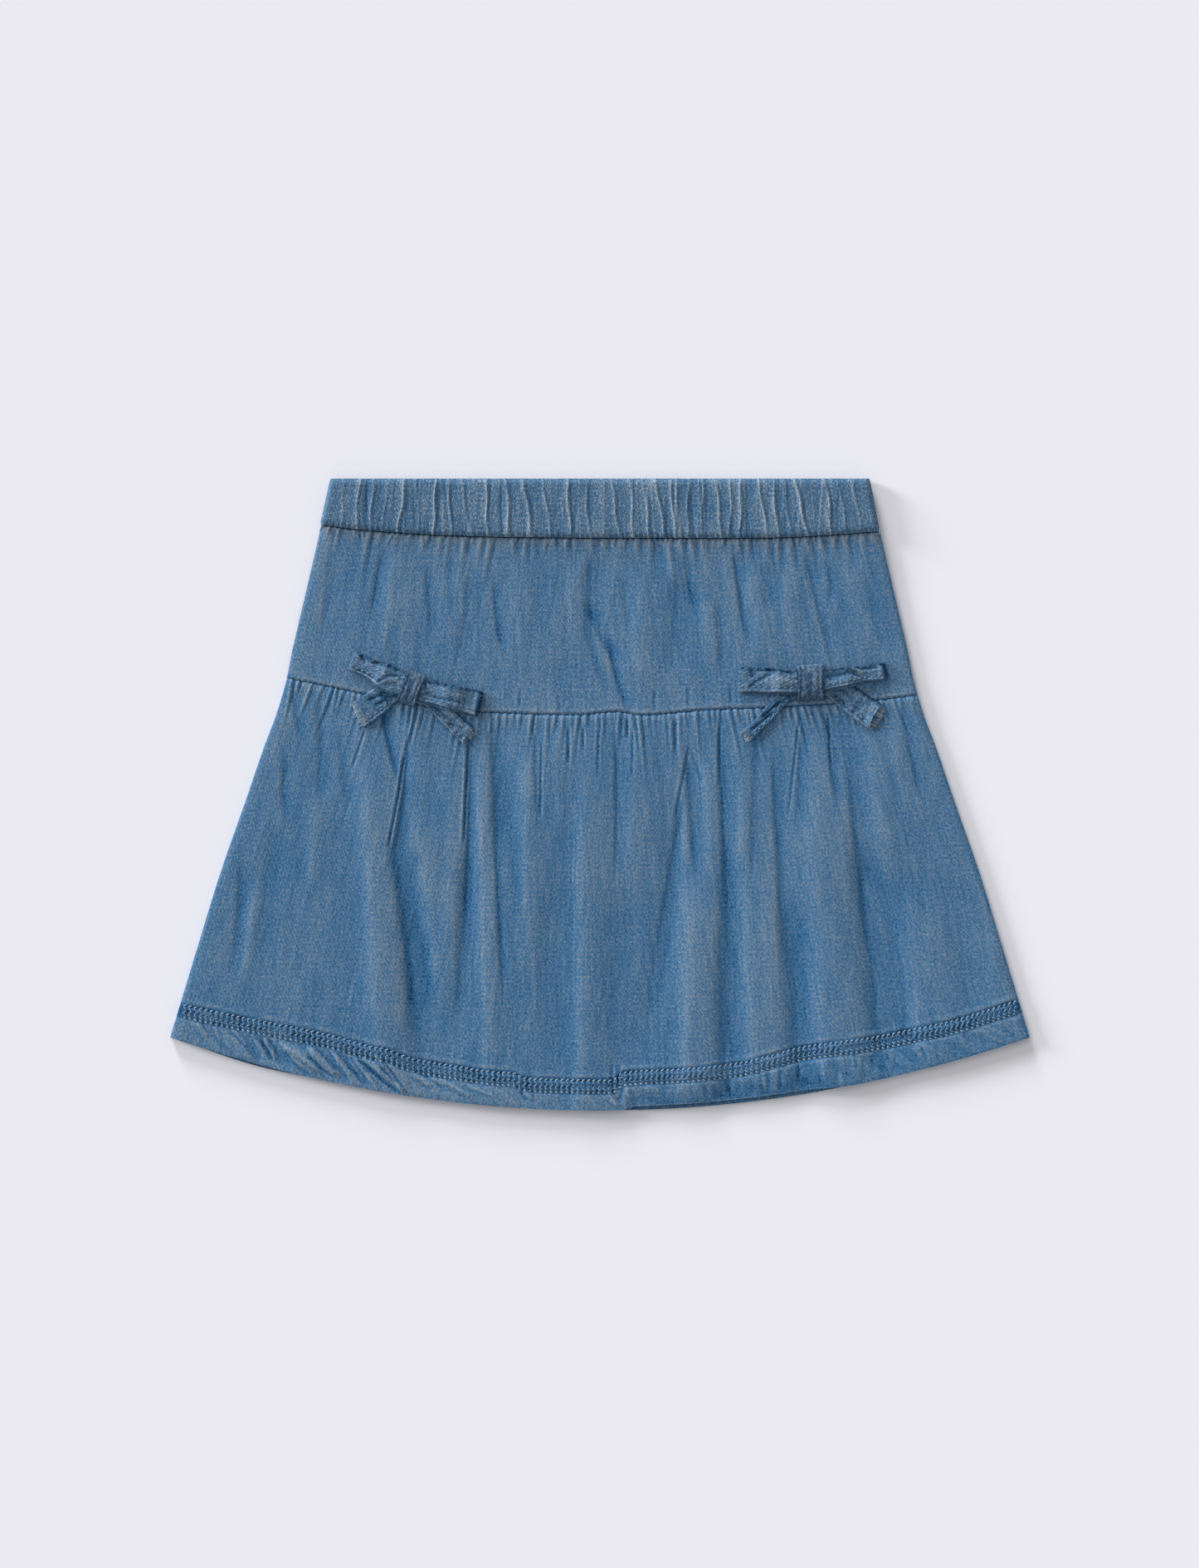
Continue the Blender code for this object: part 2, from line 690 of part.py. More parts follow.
class Strip:
    """The plan of a bow's strip: from one end, straight through the knot, to the other end."""

    def __init__(self, ends, knot, widths, knot_width):
        self.ends = [Vector((*end, 0)) for end in ends]
        self.knot = Vector((*knot, 0))
        self.through = (self.ends[1] - self.ends[0]) / 2
        self.widths = widths
        self.knot_width = knot_width

    def at(self, t):
        """The point, the way on, the way sideways and the width at t: -1 to 1, with the knot at 0."""
        sign = -1 if t < 0 else 1
        reach = self.ends[max(sign, 0)] - self.knot
        start = self.through * sign
        s = abs(t)
        point = self.knot + reach * (s * s * (2 - s)) + start * (s * (1 - s) ** 2)
        speed = reach * (s * (4 - 3 * s)) + start * ((1 - s) * (1 - 3 * s))
        onward = (speed * sign).normalized()
        width = self.knot_width
        width += (self.widths[max(sign, 0)] - width) * smooth_step(s / STRIP_FULL_WIDTH)
        return point, onward, Vector((-onward.y, onward.x, 0)), width

    def stations(self, trees):
        """Rows of t, point, way on, way sideways, width, and the underside's height."""
        rows = []
        spread = (self.ends[1] - self.ends[0]).length / STRIP_SPANS
        for k in range(STRIP_SPANS + 1):
            t = 2 * k / STRIP_SPANS - 1
            point, onward, side, width = self.at(t)
            ground = ground_under(trees, point, side, width / 2, spread)
            rows.append((t, point, onward, side, width, ground + SEAM_GAP))
        highest = smoothed([entry[-1] for entry in rows], max)
        level = smoothed(highest, lambda near: sum(near) / len(near))
        return [(*entry[:-1], height) for entry, height in zip(rows, level)]


def smoothed(values, combine):
    """Each value made from itself and its neighbours."""
    return [combine(values[max(k - 1, 0):k + 2]) for k in range(len(values))]


def strip_section(middle, side, normal, width, thickness):
    """A flattened tube's section, with soft edges."""
    half, edge = width / 2, width / 2 - STRIP_EDGE
    up = normal * (thickness / 2)
    return [
        middle - side * half,
        middle - side * edge - up,
        middle + side * edge - up,
        middle + side * half,
        middle + side * edge + up,
        middle - side * edge + up,
    ]


def bow_tails(bow, trees):
    """One strip under the knot, whose two ends hang below it."""
    strip = Strip(bow.tails, bow.knot, bow.tail_widths, TAIL_WIDTH_AT_KNOT)
    sections = []
    for _, point, _, side, width, height in strip.stations(trees):
        middle = point + UP * (height + TAIL_THICKNESS / 2)
        sections.append(strip_section(middle, side, UP, width, TAIL_THICKNESS))
    return tube_of_sections(bow.name + "_tails", sections, closed=False)


def loop_turn(t, point, onward, side, width, height):
    """Sections round the end of a loop, from its lower to its upper layer."""
    radius = (CLOTH + LOOP_GAP_AT_END) / 2
    centre = point + UP * (height + CLOTH / 2 + radius)
    sections = []
    for angle in LOOP_TURN_ANGLES:
        outward = onward * t * math.sin(angle) - UP * math.cos(angle)
        sections.append(strip_section(centre + outward * radius, side, -outward, width, CLOTH))
    return sections


def bow_loops(bow, trees):
    """A ring of strip, pinched at the knot, whose two halves are the loops."""
    strip = Strip(bow.loops, bow.knot, bow.loop_widths, LOOP_WIDTH_AT_KNOT)
    stations = strip.stations(trees)
    lower, upper = [], []
    for t, point, _, side, width, height in stations:
        gap = LOOP_GAP_AT_KNOT + (LOOP_GAP_AT_END - LOOP_GAP_AT_KNOT) * abs(t)
        gap += LOOP_PUFF * math.sin(math.pi * smooth_step(abs(t))) ** 2
        low = point + UP * (height + CLOTH / 2)
        lower.append(strip_section(low, side, UP, width, CLOTH))
        upper.append(strip_section(low + UP * (CLOTH + gap), side, -UP, width, CLOTH))
    right, left = loop_turn(*stations[-1]), loop_turn(*stations[0])
    sections = lower + right + upper[::-1] + left[::-1]
    return tube_of_sections(bow.name + "_loops", sections, closed=True)


def bow_knot(bow, trees, over):
    """The short band over the middle of the bow, with its two ends tucked down beside the strips."""
    along = Vector((*bow.loops[1], 0)) - Vector((*bow.loops[0], 0))
    along.normalize()
    up_skirt = Vector((-along.y, along.x, 0))
    knot = Vector((*bow.knot, 0))
    reach = bow.knot_height / 2 - CLOTH / 2
    half = bow.knot_width / 2
    shoulder = ground_under([over], knot, up_skirt, LOOP_WIDTH_AT_KNOT / 2, half) + SEAM_GAP - CLOTH
    sections = []
    for side, rows in ((-1, KNOT_ARCH), (1, KNOT_ARCH[-2::-1])):
        foot = ground_under(trees, knot + up_skirt * side * reach, along, half, KNOT_FOOT_SPREAD)
        for arch in rows:
            middle = knot + up_skirt * (side * arch.reach * reach)
            middle.z = shoulder + (foot + SEAM_GAP - shoulder) * arch.down + arch.rise
            lean = math.radians(arch.lean * side)
            normal = up_skirt * math.sin(lean) + UP * math.cos(lean)
            sections.append(strip_section(middle, along, normal, bow.knot_width, CLOTH))
    return tube_of_sections(bow.name + "_knot", sections, closed=False)


def cloth_material(name, colour):
    material = bpy.data.materials.new(name)
    material.use_nodes = True
    shader = material.node_tree.nodes["Principled BSDF"]
    shader.inputs["Base Color"].default_value = colour
    shader.inputs["Roughness"].default_value = ROUGHNESS
    shader.inputs["Metallic"].default_value = 0.0
    return material


def build_skirt():
    for obj in list(bpy.data.objects):
        bpy.data.objects.remove(obj)
    collection = bpy.data.collections.new(COLLECTION)
    bpy.context.scene.collection.children.link(collection)
    band_cloth = cloth_material("waistband_cloth", WAISTBAND_CLOTH)
    skirt_cloth = cloth_material("skirt_cloth", SKIRT_CLOTH)
    bow_cloth = cloth_material("bow_cloth", BOW_CLOTH)

    waistband().data.materials.append(band_cloth)
    front = [yoke_front(), flounce_front()]
    yoke_bottom = shifted(yoke_seam, SEAM_GAP / 2)
    flounce_start = shifted(yoke_seam, -SEAM_GAP / 2)
    back = [
        back_panel("yoke_back", shifted(waist_seam, -SEAM_GAP / 2), yoke_bottom, 3, 36),
        back_panel("flounce_back", flounce_start, back_hem_edge, 6, 48),
    ]
    for panel in front + back:
        panel.data.materials.append(skirt_cloth)

    front_trees = [tree_of(panel) for panel in front]
    for bow in BOWS:
        tails = bow_tails(bow, front_trees)
        loops = bow_loops(bow, front_trees + [tree_of(tails)])
        below = front_trees + [tree_of(tails), tree_of(loops)]
        knot = bow_knot(bow, below, tree_of(loops))
        for piece in (tails, loops, knot):
            piece.data.materials.append(bow_cloth)


build_skirt()
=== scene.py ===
"""The looks of a child's tiered denim skirt that lies flat, seen from straight above.

Lengths are in millimetres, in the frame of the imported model, and become metres where a mesh is
made. X runs to the right, Y towards the waist and Z up from the surface that the skirt lies on.
"""

import math
from collections import namedtuple

import bmesh
import bpy
import numpy as np
from mathutils import Matrix, Vector
from mathutils.bvhtree import BVHTree


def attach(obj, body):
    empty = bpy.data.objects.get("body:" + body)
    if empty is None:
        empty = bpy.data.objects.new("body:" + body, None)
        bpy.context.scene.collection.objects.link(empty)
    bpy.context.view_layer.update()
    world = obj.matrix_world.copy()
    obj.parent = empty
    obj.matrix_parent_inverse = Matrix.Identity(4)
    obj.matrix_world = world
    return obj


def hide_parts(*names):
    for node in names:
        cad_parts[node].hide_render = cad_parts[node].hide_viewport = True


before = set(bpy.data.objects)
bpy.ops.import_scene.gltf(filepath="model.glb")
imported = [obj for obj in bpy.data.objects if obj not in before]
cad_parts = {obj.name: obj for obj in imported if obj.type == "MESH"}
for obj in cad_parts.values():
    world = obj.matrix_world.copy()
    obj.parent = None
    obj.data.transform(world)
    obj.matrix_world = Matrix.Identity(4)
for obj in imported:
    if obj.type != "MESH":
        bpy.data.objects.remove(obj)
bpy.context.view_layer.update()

MM = 0.001
UP = Vector((0, 0, 1))
BODY = "root"

# The skirt's main sizes.
TOP_Y = 150.0
HEM_MIDDLE_Y = -150.0
HEM_CORNER_X, HEM_CORNER_Y = 204.2, -115.3

# The outline: y and half the width there.
OUTLINE = (
    (150, 128.3), (123, 133.6), (70, 145.9), (54, 149.2), (38, 153.9), (23, 159.6), (-1, 167.8),
    (-37, 180.4), (-76, 192.4), (-115, 204.2),
)
# Seams and the hem's upper row of stitches: x and y.
WAIST_SEAM = (
    (-134, 128.4), (-115, 125.9), (-80, 123.4), (-40, 122.2), (40, 121.8), (90, 122.2),
    (134, 125.0),
)
YOKE_SEAM = (
    (-150, 55.6), (-130, 51.6), (-105, 46.2), (-75, 40.8), (-50, 39.0), (-10, 38.0), (8, 39.4),
    (20, 37.8), (50, 40.2), (85, 41.6), (125, 44.2), (150, 47.2),
)
HEM_STITCH_LEFT = (
    (-200, -99), (-170, -105.5), (-130, -113.5), (-110, -119), (-100, -121), (-90, -125),
    (-70, -128.5), (-50, -131.5), (-41, -132), (-36, -134.2), (-20, -135), (8, -135.5),
)
HEM_STITCH_RIGHT = (
    (8, -132), (20, -131), (40, -130), (65, -127.5), (80, -124), (95, -120), (115, -117),
    (130, -115), (150, -111), (170, -106.5), (200, -97),
)
HEM_PINCH_X = 8.5

# Long folds of the front: y_top, x_top, x_mid, y_end, x_end, width, rise, crease. The path runs
# from y_top to y_end along the fold's left side, which is steep: it falls where the rise is
# negative and climbs where it is positive. The right side is long and easy. The crease at the
# steep side is 0 where it is soft and about 1 where it is sharp.
YOKE_FOLDS = (
    (122, -127, -131, 62, -137, 3.0, -0.25, 0.0), (119, -103, -107, 80, -110, 1.6, -0.28, 0.4),
    (122, -99, -103, 62, -107, 5.0, 0.30, 0.0), (112, -83, -82, 72, -80, 1.5, -0.25, 0.3),
    (110, -75, -74, 62, -73, 4.0, 0.24, 0.0), (112, -63, -65, 60, -70, 3.0, -0.42, 0.1),
    (106, -51, -49.5, 60, -45, 1.6, -0.36, 0.4), (118, -41, -41, 58, -39, 4.0, 0.34, 0.0),
    (105, -26, -26, 52, -28, 4.0, 0.24, 0.0), (116, -15, -15, 56, -13, 3.0, 0.30, 0.0),
    (118, -6, -6, 70, -7, 2.8, -0.52, 0.0), (94, -9, -1.5, 60, 7, 2.4, -0.42, 0.1),
    (82, -7, -3, 44, 3, 2.0, -0.36, 0.1), (78, 2, 7.5, 32, 15.5, 1.7, -0.50, 0.5),
    (106, 9, 11, 76, 13, 2.0, -0.22, 0.1), (110, 14, 16, 42, 18, 4.0, 0.40, 0.0),
    (125, 29, 32, 96, 34, 3.0, 0.40, 0.0), (108, 34, 34, 50, 30, 4.0, -0.36, 0.0),
    (117, 39, 42, 80, 47, 1.5, -0.32, 0.5), (95, 48, 49, 56, 49, 3.0, 0.26, 0.0),
    (95, 54, 56, 52, 57, 2.0, -0.36, 0.2), (120, 62, 66, 66, 70, 1.6, -0.50, 0.5),
    (114, 69, 72, 60, 75, 3.0, 0.32, 0.0), (112, 77, 78, 84, 78, 2.0, -0.22, 0.2),
    (112, 85, 87, 60, 90, 4.0, 0.30, 0.0), (120, 96, 103, 58, 111, 2.0, -0.42, 0.3),
    (112, 107, 109, 88, 108, 1.3, -0.2, 0.5), (116, 114, 119, 58, 126, 4.5, 0.32, 0.0),
    (112, 124, 129, 62, 136, 3.0, -0.25, 0.0),
)
FLOUNCE_FOLDS = (
    (52, -147, -145, 22, -142, 1.5, -0.30, 0.2), (50, -136, -133.5, -14, -137, 2.4, -0.42, 0.2),
    (34, -125, -123, -12, -121, 2.4, -0.30, 0.1), (22, -150.5, -151, -14, -152, 1.6, -0.34, 0.2),
    (-26, -172, -172.5, -88, -176, 2.0, -0.36, 0.2), (-10, -157, -161, -92, -169, 3.0, -0.32, 0.0),
    (8, -137, -138, -52, -139, 3.0, 0.34, 0.0), (-38, -166, -168, -96, -172, 2.6, 0.32, 0.0),
    (46, -106, -101, 2, -95.5, 1.7, -0.62, 0.8), (30, -91.5, -94.8, -40, -100.5, 1.9, -0.55, 1.0),
    (-12, -103, -93.5, -124, -91, 3.6, -1.05, 0.5), (-40, -93, -90, -160, -88, 7.0, -0.80, 0.0),
    (44, -62, -63.5, -86, -65.5, 1.8, -0.50, 1.1), (-20, -65.5, -67.5, -128, -70, 3.2, -0.70, 0.1),
    (42, -52, -51, -38, -50, 3.2, -0.85, 0.2), (-8, -50.5, -48.5, -112, -45.5, 1.2, -0.20, 0.9),
    (40, -32, -31, -22, -30, 1.3, -0.24, 0.3), (-30, -30, -28, -150, -24, 8.0, -0.50, 0.0),
    (44, -117, -111, -165, -108, 6.5, 1.20, 0.0), (40, -88, -90, 0, -92, 2.6, 0.32, 0.0),
    (4, -91, -83.5, -112, -76, 4.6, 0.62, 0.0), (24, -71, -73, -98, -77, 4.4, 0.40, 0.0),
    (34, -59, -56.5, -170, -54.5, 3.2, 0.58, 0.0), (38, -38, -37, -96, -36, 4.4, 0.80, 0.0),
    (36, -23, -21.5, -30, -20, 2.8, 0.28, 0.0), (38, -10.5, -11, -190, -13.5, 4.6, 0.90, 0.0),
    (40, 6.5, 7.2, -50, 6, 1.3, -0.30, 0.4), (-36, 6, 4, -150, 6, 8.0, -0.62, 0.0),
    (40, 17, 14.5, -46, 13, 3.0, 0.38, 0.0), (30, 42.5, 31.8, -120, 20.5, 2.3, -0.52, 0.5),
    (10, 33, 25, -140, 15, 6.0, -0.62, 0.0), (28, 39.5, 42.5, -46, 45.5, 2.0, -0.55, 0.3),
    (12, 38, 38.6, -40, 37.5, 2.4, 0.46, 0.0), (-28, 39, 39, -175, 36, 6.0, 1.00, 0.0),
    (28, 50, 50, -50, 48, 3.0, 0.38, 0.0), (44, 55.5, 57.5, -60, 59.5, 1.8, -0.45, 0.8),
    (-12, 58.5, 57, -170, 55.5, 4.8, -1.15, 0.1), (26, 65, 67, -160, 74, 5.0, 0.80, 0.0),
    (38, 72.5, 72, -50, 71, 2.4, -0.42, 0.2), (-30, 78, 79, -126, 81, 4.0, 0.30, 0.0),
    (34, 81, 84, -96, 88, 2.2, -0.52, 0.4), (-40, 86, 90, -160, 93, 5.2, -1.05, 0.0),
    (42, 95, 94, -26, 92, 2.0, -0.32, 0.2), (36, 100, 100, -175, 108, 8.0, 1.10, 0.0),
    (44, 106.5, 109, -12, 114, 2.0, -0.48, 0.4), (42, 111, 115, 8, 118, 4.0, -0.36, 0.0),
    (28, 116, 121.5, -84, 128, 2.6, -0.62, 0.4), (-14, 121, 127, -150, 132, 7.5, -1.60, 0.0),
    (42, 124, 131, -66, 138, 5.0, 0.52, 0.0), (40, 136, 141, -20, 147, 3.0, 0.32, 0.0),
    (-40, 141, 147, -140, 152, 6.0, 0.55, 0.0), (46, 142, 147, -8, 154, 1.8, -0.48, 0.3),
    (-78, 140, 142, -118, 143.5, 1.2, -0.24, 0.2), (-30, 156, 167, -108, 173, 5.0, -0.34, 0.0),
    (-60, 178, 184, -116, 189, 6.0, 0.34, 0.0),
)
# Shares of a fold's length in which it rises and fades, the place of its crest and of its crease
# beside the path, and how much longer their right sides are.
FOLD_START, FOLD_FADE = 0.28, 0.35
CREST_SIDE, CREST_SKEW = 0.7, 2.5
CREASE_SIDE, CREASE_SKEW = 0.4, 2.5
CREASE_REACH, CREASE_DEPTH = 0.5, 0.34

# Short creases of the front, with a lip on both sides: x_from, y_from, x_to, y_to, width, rise.
YOKE_LINES = (
    (26, 50, 26, 41, 0.7, -0.3), (42, 52, 42.5, 42, 0.7, -0.3), (-38, 50, -38, 41, 0.7, -0.3),
    (62, 52, 62.5, 43, 0.7, -0.3), (-20, 48, -19, 40, 0.6, -0.25), (80, 54, 80.5, 44, 0.6, -0.25),
)
FLOUNCE_LINES = (
    (-62.6, 27, -64.8, -24, 0.5, -1.1), (-93.2, 18, -96.2, -3, 0.5, -1.0),
    (-96.0, -1, -100.4, -24, 0.5, -0.9), (42.4, 23, 35.5, -12, 0.55, -0.45),
    (-27.6, 25, -28.4, -10, 0.5, -0.45), (-0.8, 31, -1.0, 8, 0.5, -0.4),
    (15.8, 31, 15.2, 8, 0.5, -0.4), (56.8, 34, 56.6, 4, 0.5, -0.65),
    (108.6, 38, 109.6, 12, 0.5, -0.6), (95.0, 39, 89.5, -10, 0.5, -0.5),
    (-111.5, 31, -118.0, 12, 0.5, -0.45), (-88.0, 42, -91.6, 24, 0.5, 0.5),
    (-52.4, 37, -52.6, 29, 0.6, 0.5), (-15, 32, -15, 15, 0.7, -0.6), (-8, 32, -8, 22, 0.6, -0.5),
    (13, 36, 13, 27, 0.6, -0.6), (36, 36, 36, 20, 0.7, -0.6), (43, 22, 49, 5, 0.7, -0.3),
    (5.8, -128, 5.4, -138, 0.7, -0.3), (8.4, -129, 9.6, -140, 0.9, -0.35),
    (11.5, -137, 9.4, -146, 0.8, -0.4), (4, -141, 8.4, -148, 0.7, 0.7),
    (13, -139, 14.2, -144.5, 0.6, 0.6), (-191.5, -108.6, -186.5, -115.2, 0.7, 0.5),
    (-183, -110, -180, -117, 0.6, 0.4), (-174.4, -111.6, -167.3, -119.5, 0.6, 0.5),
    (-165, -114.0, -161, -121, 0.6, 0.4), (-159.5, -115.9, -153.7, -125.8, 0.7, 0.8),
    (-161, -117.0, -155.4, -126.0, 0.8, -0.8), (-150.2, -119.6, -131.7, -132.3, 0.7, 0.7),
    (-137.4, -122.3, -123.2, -133.6, 0.7, 0.7), (-139.4, -123.8, -126.0, -134.4, 0.7, -0.6),
    (-126.5, -123.0, -118.0, -133.0, 0.6, 0.4), (-119.6, -125.8, -111.8, -135.8, 0.6, 0.6),
    (-112.7, -124.8, -93.8, -140.9, 0.8, 0.9), (-114.0, -126.4, -96.0, -141.4, 0.8, -0.8),
    (-106.4, -123.6, -93.0, -141.7, 0.7, 0.8), (-100.5, -127.0, -90.5, -137.5, 0.6, 0.5),
    (-91.0, -131.0, -80.0, -139.0, 0.7, 0.6), (-84.0, -133.0, -72.5, -141.0, 0.6, -0.5),
    (-77.0, -135.2, -60.5, -143.6, 0.7, 0.6), (-62.0, -138.5, -50.0, -143.5, 0.6, 0.4),
    (-35.6, -140.0, -32.0, -145.0, 0.7, 0.6), (-38.0, -141.0, -34.6, -146.0, 0.7, -0.6),
    (60.0, -134.5, 61.5, -142.0, 1.0, -0.3), (78.0, -131.0, 79.0, -140.0, 1.0, 0.3),
    (94.0, -127.5, 94.8, -136.0, 0.9, -0.35), (106.5, -126.0, 107.5, -137.5, 1.3, 0.35),
    (121.0, -123.0, 122.4, -131.0, 0.8, -0.35), (135.0, -121.5, 137.5, -131.0, 1.0, 0.25),
    (152.0, -118.5, 156.0, -127.0, 0.9, -0.3), (171.0, -114.0, 175.0, -121.0, 1.0, 0.25),
)

# Ridges of the gathered waistband: x at the top edge, x at the seam, rise.
BAND_RIDGES = (
    (-121, -123, 0.5), (-114, -116, 0.9), (-107.5, -109, 0.7), (-101, -103, 0.4),
    (-92.5, -96, 1.0), (-87, -86, 0.4), (-77.5, -79.5, 1.2), (-72, -70.5, 0.8), (-66, -61.5, 0.8),
    (-54.5, -53, 1.0), (-44.5, -43, 1.0), (-36.5, -32.5, 1.2), (-27, -23.5, 0.8),
    (-15.5, -14, 1.2), (-7, -5, 0.7), (5, 9.5, 0.9), (14.5, 16, 0.9), (20.5, 23.5, 0.8),
    (26.5, 30.5, 1.1), (33.5, 35.5, 0.9), (42, 41.5, 0.7), (49, 48, 0.5), (54.5, 58, 0.8),
    (62, 61.5, 0.8), (67, 66, 1.1), (75.5, 79, 0.9), (82, 84.5, 1.0), (87, 91, 0.6), (92, 99, 1.3),
    (107, 110, 0.9), (113, 117, 0.5), (120, 124, 0.6),
)

# Heights of the two layers, and how far from an edge or a seam each change of height reaches.
CLOTH = 0.6
STRIP_CLOTH = 0.7
HEM_EXTRA = 0.4
BACK_UNDER_LIFT = 0.35
FRONT_EDGE = 1.9
FRONT_LOWEST = 2.05
LOWEST_OUTSIDE = 1.7
FRONT_LOFT, LOFT_WIDTH = 1.1, 1.5
FOLD_MARGIN = 6.0
LOFT_SOFT_LIMIT, LOFT_ABOVE_LIMIT = 2.7, 0.55
EDGE_ROLL = 1.0
WAIST_LIFT, WAIST_LIFT_REACH = 0.8, 14.0
SEAM_HALF_GAP = 0.08
SIDE_FOOT = 0.7

# The waistband's ring and its mesh.
BAND_HEIGHT = 5.8
BAND_WALL = 2.6
BAND_TURN_GAP = 0.3
BAND_FOOT_Y = 125.0
BAND_CREASES = 70
BAND_GRAIN = 1.2
BAND_WEAR_SHADING_RELIEF = 0.42
BAND_FRONT_SPANS, BAND_BACK_SPANS, BAND_TURN_SPANS = 900, 240, 10
BAND_LEVELS = 22

# Sewing.
NEEDLE_GAUGE = 6.4
HEM_PITCH = 2.5
SEAM_PITCH = 2.7
SEAM_THREADS_X = 147
THREAD_LIFT, COVER_LIFT = 0.12, 0.05

# Spans of the panels' grids, across and down. Every fourth line of them is in the inner grid.
YOKE_SPANS, FLOUNCE_SPANS = (520, 96), (600, 148)
YOKE_BACK_SPANS, FLOUNCE_BACK_SPANS = (150, 40), (220, 80)
INNER_STEP = 4
# How much closer the rows stand at a panel's lines, and how often its fan is worked out again.
ROW_CROWDING, FAN_ROUNDS = 0.45, 6
# Where the weave has its true width, and how many grid lines away fine wear and painted shading
# look.
YOKE_MIDDLE_Y, FLOUNCE_MIDDLE_Y = 90.0, -40.0
FRONT_WEAR_SHADING_REACH, BACK_WEAR_SHADING_REACH = 6, 4


def curve_through(points):
    """A smooth function of arrays through pairs of numbers, straight beyond its ends."""
    xs, ys = np.array(sorted(points), dtype=float).T
    last = len(xs) - 1
    before = np.maximum(np.arange(len(xs)) - 1, 0)
    after = np.minimum(np.arange(len(xs)) + 1, last)
    slopes = (ys[after] - ys[before]) / (xs[after] - xs[before])

    def value(at):
        at = np.asarray(at, dtype=float)
        i = np.clip(np.searchsorted(xs, at, side="right") - 1, 0, last - 1)
        span = xs[i + 1] - xs[i]
        t = np.clip((at - xs[i]) / span, 0, 1)
        inside = (
            ys[i] * (1 + 2 * t) * (1 - t) ** 2
            + slopes[i] * span * t * (1 - t) ** 2
            + ys[i + 1] * t * t * (3 - 2 * t)
            + slopes[i + 1] * span * t * t * (t - 1)
        )
        left = slopes[0] * np.minimum(at - xs[0], 0)
        right = slopes[last] * np.maximum(at - xs[last], 0)
        return inside + left + right

    return value


half_width = curve_through(OUTLINE)
waist_seam = curve_through(WAIST_SEAM)
yoke_seam = curve_through(YOKE_SEAM)
hem_stitch_left = curve_through(HEM_STITCH_LEFT)
hem_stitch_right = curve_through(HEM_STITCH_RIGHT)


def hem_stitch(x):
    """The hem's upper row of stitches, which steps up where the hem is pinched."""
    share = smooth_step((np.asarray(x) - HEM_PINCH_X + 3.0) / 6.0)
    return hem_stitch_left(x) * (1 - share) + hem_stitch_right(x) * share


def hem_edge(x):
    return HEM_MIDDLE_Y + (HEM_CORNER_Y - HEM_MIDDLE_Y) * (x / HEM_CORNER_X) ** 2


def drawn_up(x):
    """How far the front's hem is drawn up, from 0 to 1, so that the back's hem shows below it."""
    return smooth_step((x - 9) / 9) * smooth_step((122 - x) / 26)


def front_hem_edge(x):
    return hem_edge(x) + 1.7 * drawn_up(x)


def back_hem_edge(x):
    return hem_edge(x) - 0.2 * drawn_up(x) - 1.2 * smooth_step(1 - np.abs(x + 165) / 36)


def smooth_step(t):
    t = np.clip(t, 0.0, 1.0)
    return t * t * (3 - 2 * t)


def bell(d):
    """A round crest, 1 at its middle."""
    return np.exp(-np.square(d))


def peak(d):
    """A sharp crest, 1 at its middle."""
    return np.exp(-np.abs(d))


def noise(u, v, seed):
    """Smooth noise from -1 to 1, with one random value at each whole number of u and v."""
    table = np.random.default_rng(seed).uniform(-1, 1, (256, 256))
    iu, iv = np.floor(u).astype(int), np.floor(v).astype(int)
    fu, fv = smooth_step(u - iu), smooth_step(v - iv)
    a = table[iu % 256, iv % 256] * (1 - fu) + table[(iu + 1) % 256, iv % 256] * fu
    b = table[iu % 256, (iv + 1) % 256] * (1 - fu) + table[(iu + 1) % 256, (iv + 1) % 256] * fu
    return a * (1 - fv) + b * fv


def fold_rise(folds, x, y):
    """The height of the long folds: soft crests, and narrow creases at their steep sides."""
    total = np.zeros(np.shape(x))
    for y_top, x_top, x_mid, y_end, x_end, width, rise, crease in folds:
        s = (y_top - y) / (y_top - y_end)
        path = x_top * (1 - s) * (1 - 2 * s) + x_mid * 4 * s * (1 - s) + x_end * s * (2 * s - 1)
        along = smooth_step(s / FOLD_START) * smooth_step((1 - s) / FOLD_FADE)
        side = (x - path) / width - CREST_SIDE
        soft = bell(np.where(side < 0, side, side / CREST_SKEW))
        d = x - path - CREASE_SIDE
        narrow = np.exp(-np.where(d < 0, -d, d / CREASE_SKEW) / CREASE_REACH)
        sharp = CREASE_DEPTH * crease * narrow * math.copysign(1, rise)
        total += along * (rise * soft + sharp)
    return total


def from_line(x, y, x_from, y_from, x_to, y_to):
    """How far along a line a place is, 0 at its start and 1 at its end, and how far off it."""
    dx, dy = x_to - x_from, y_to - y_from
    s = ((x - x_from) * dx + (y - y_from) * dy) / (dx * dx + dy * dy)
    near = np.clip(s, 0, 1)
    return s, np.hypot(x - x_from - near * dx, y - y_from - near * dy)


def line_relief(lines, x, y):
    """Short creases with a thin core and a low lip of the other kind around it."""
    total = np.zeros(np.shape(x))
    for *ends, width, rise in lines:
        s, away = from_line(x, y, *ends)
        d = away / width
        fade = smooth_step(4 * s + 0.3) * smooth_step(4 * (1 - s) + 0.3)
        total += rise * fade * (np.exp(-1.2 * d) - 0.30 * bell(d - 2.2))
    return total


def small_creases(x, y, seed, count, low, high):
    """Short uneven creases that follow the fan of the skirt, at fixed places."""
    rng = np.random.default_rng(seed)
    across = x / half_width(y)
    total = np.zeros(np.shape(x))
    for _ in range(count):
        centre = rng.uniform(-0.94, 0.94)
        middle = rng.uniform(low, high)
        length = rng.uniform(7, 24)
        lean = rng.uniform(-0.05, 0.05)
        width = rng.uniform(0.6, 1.5)
        rise = rng.uniform(0.12, 0.34) * rng.choice((-1.0, 1.0))
        away = (y - middle) / length
        d = (across - centre - lean * away * 0.4) * half_width(y) / width
        total += rise * bell(away) * bell(d)
    return total


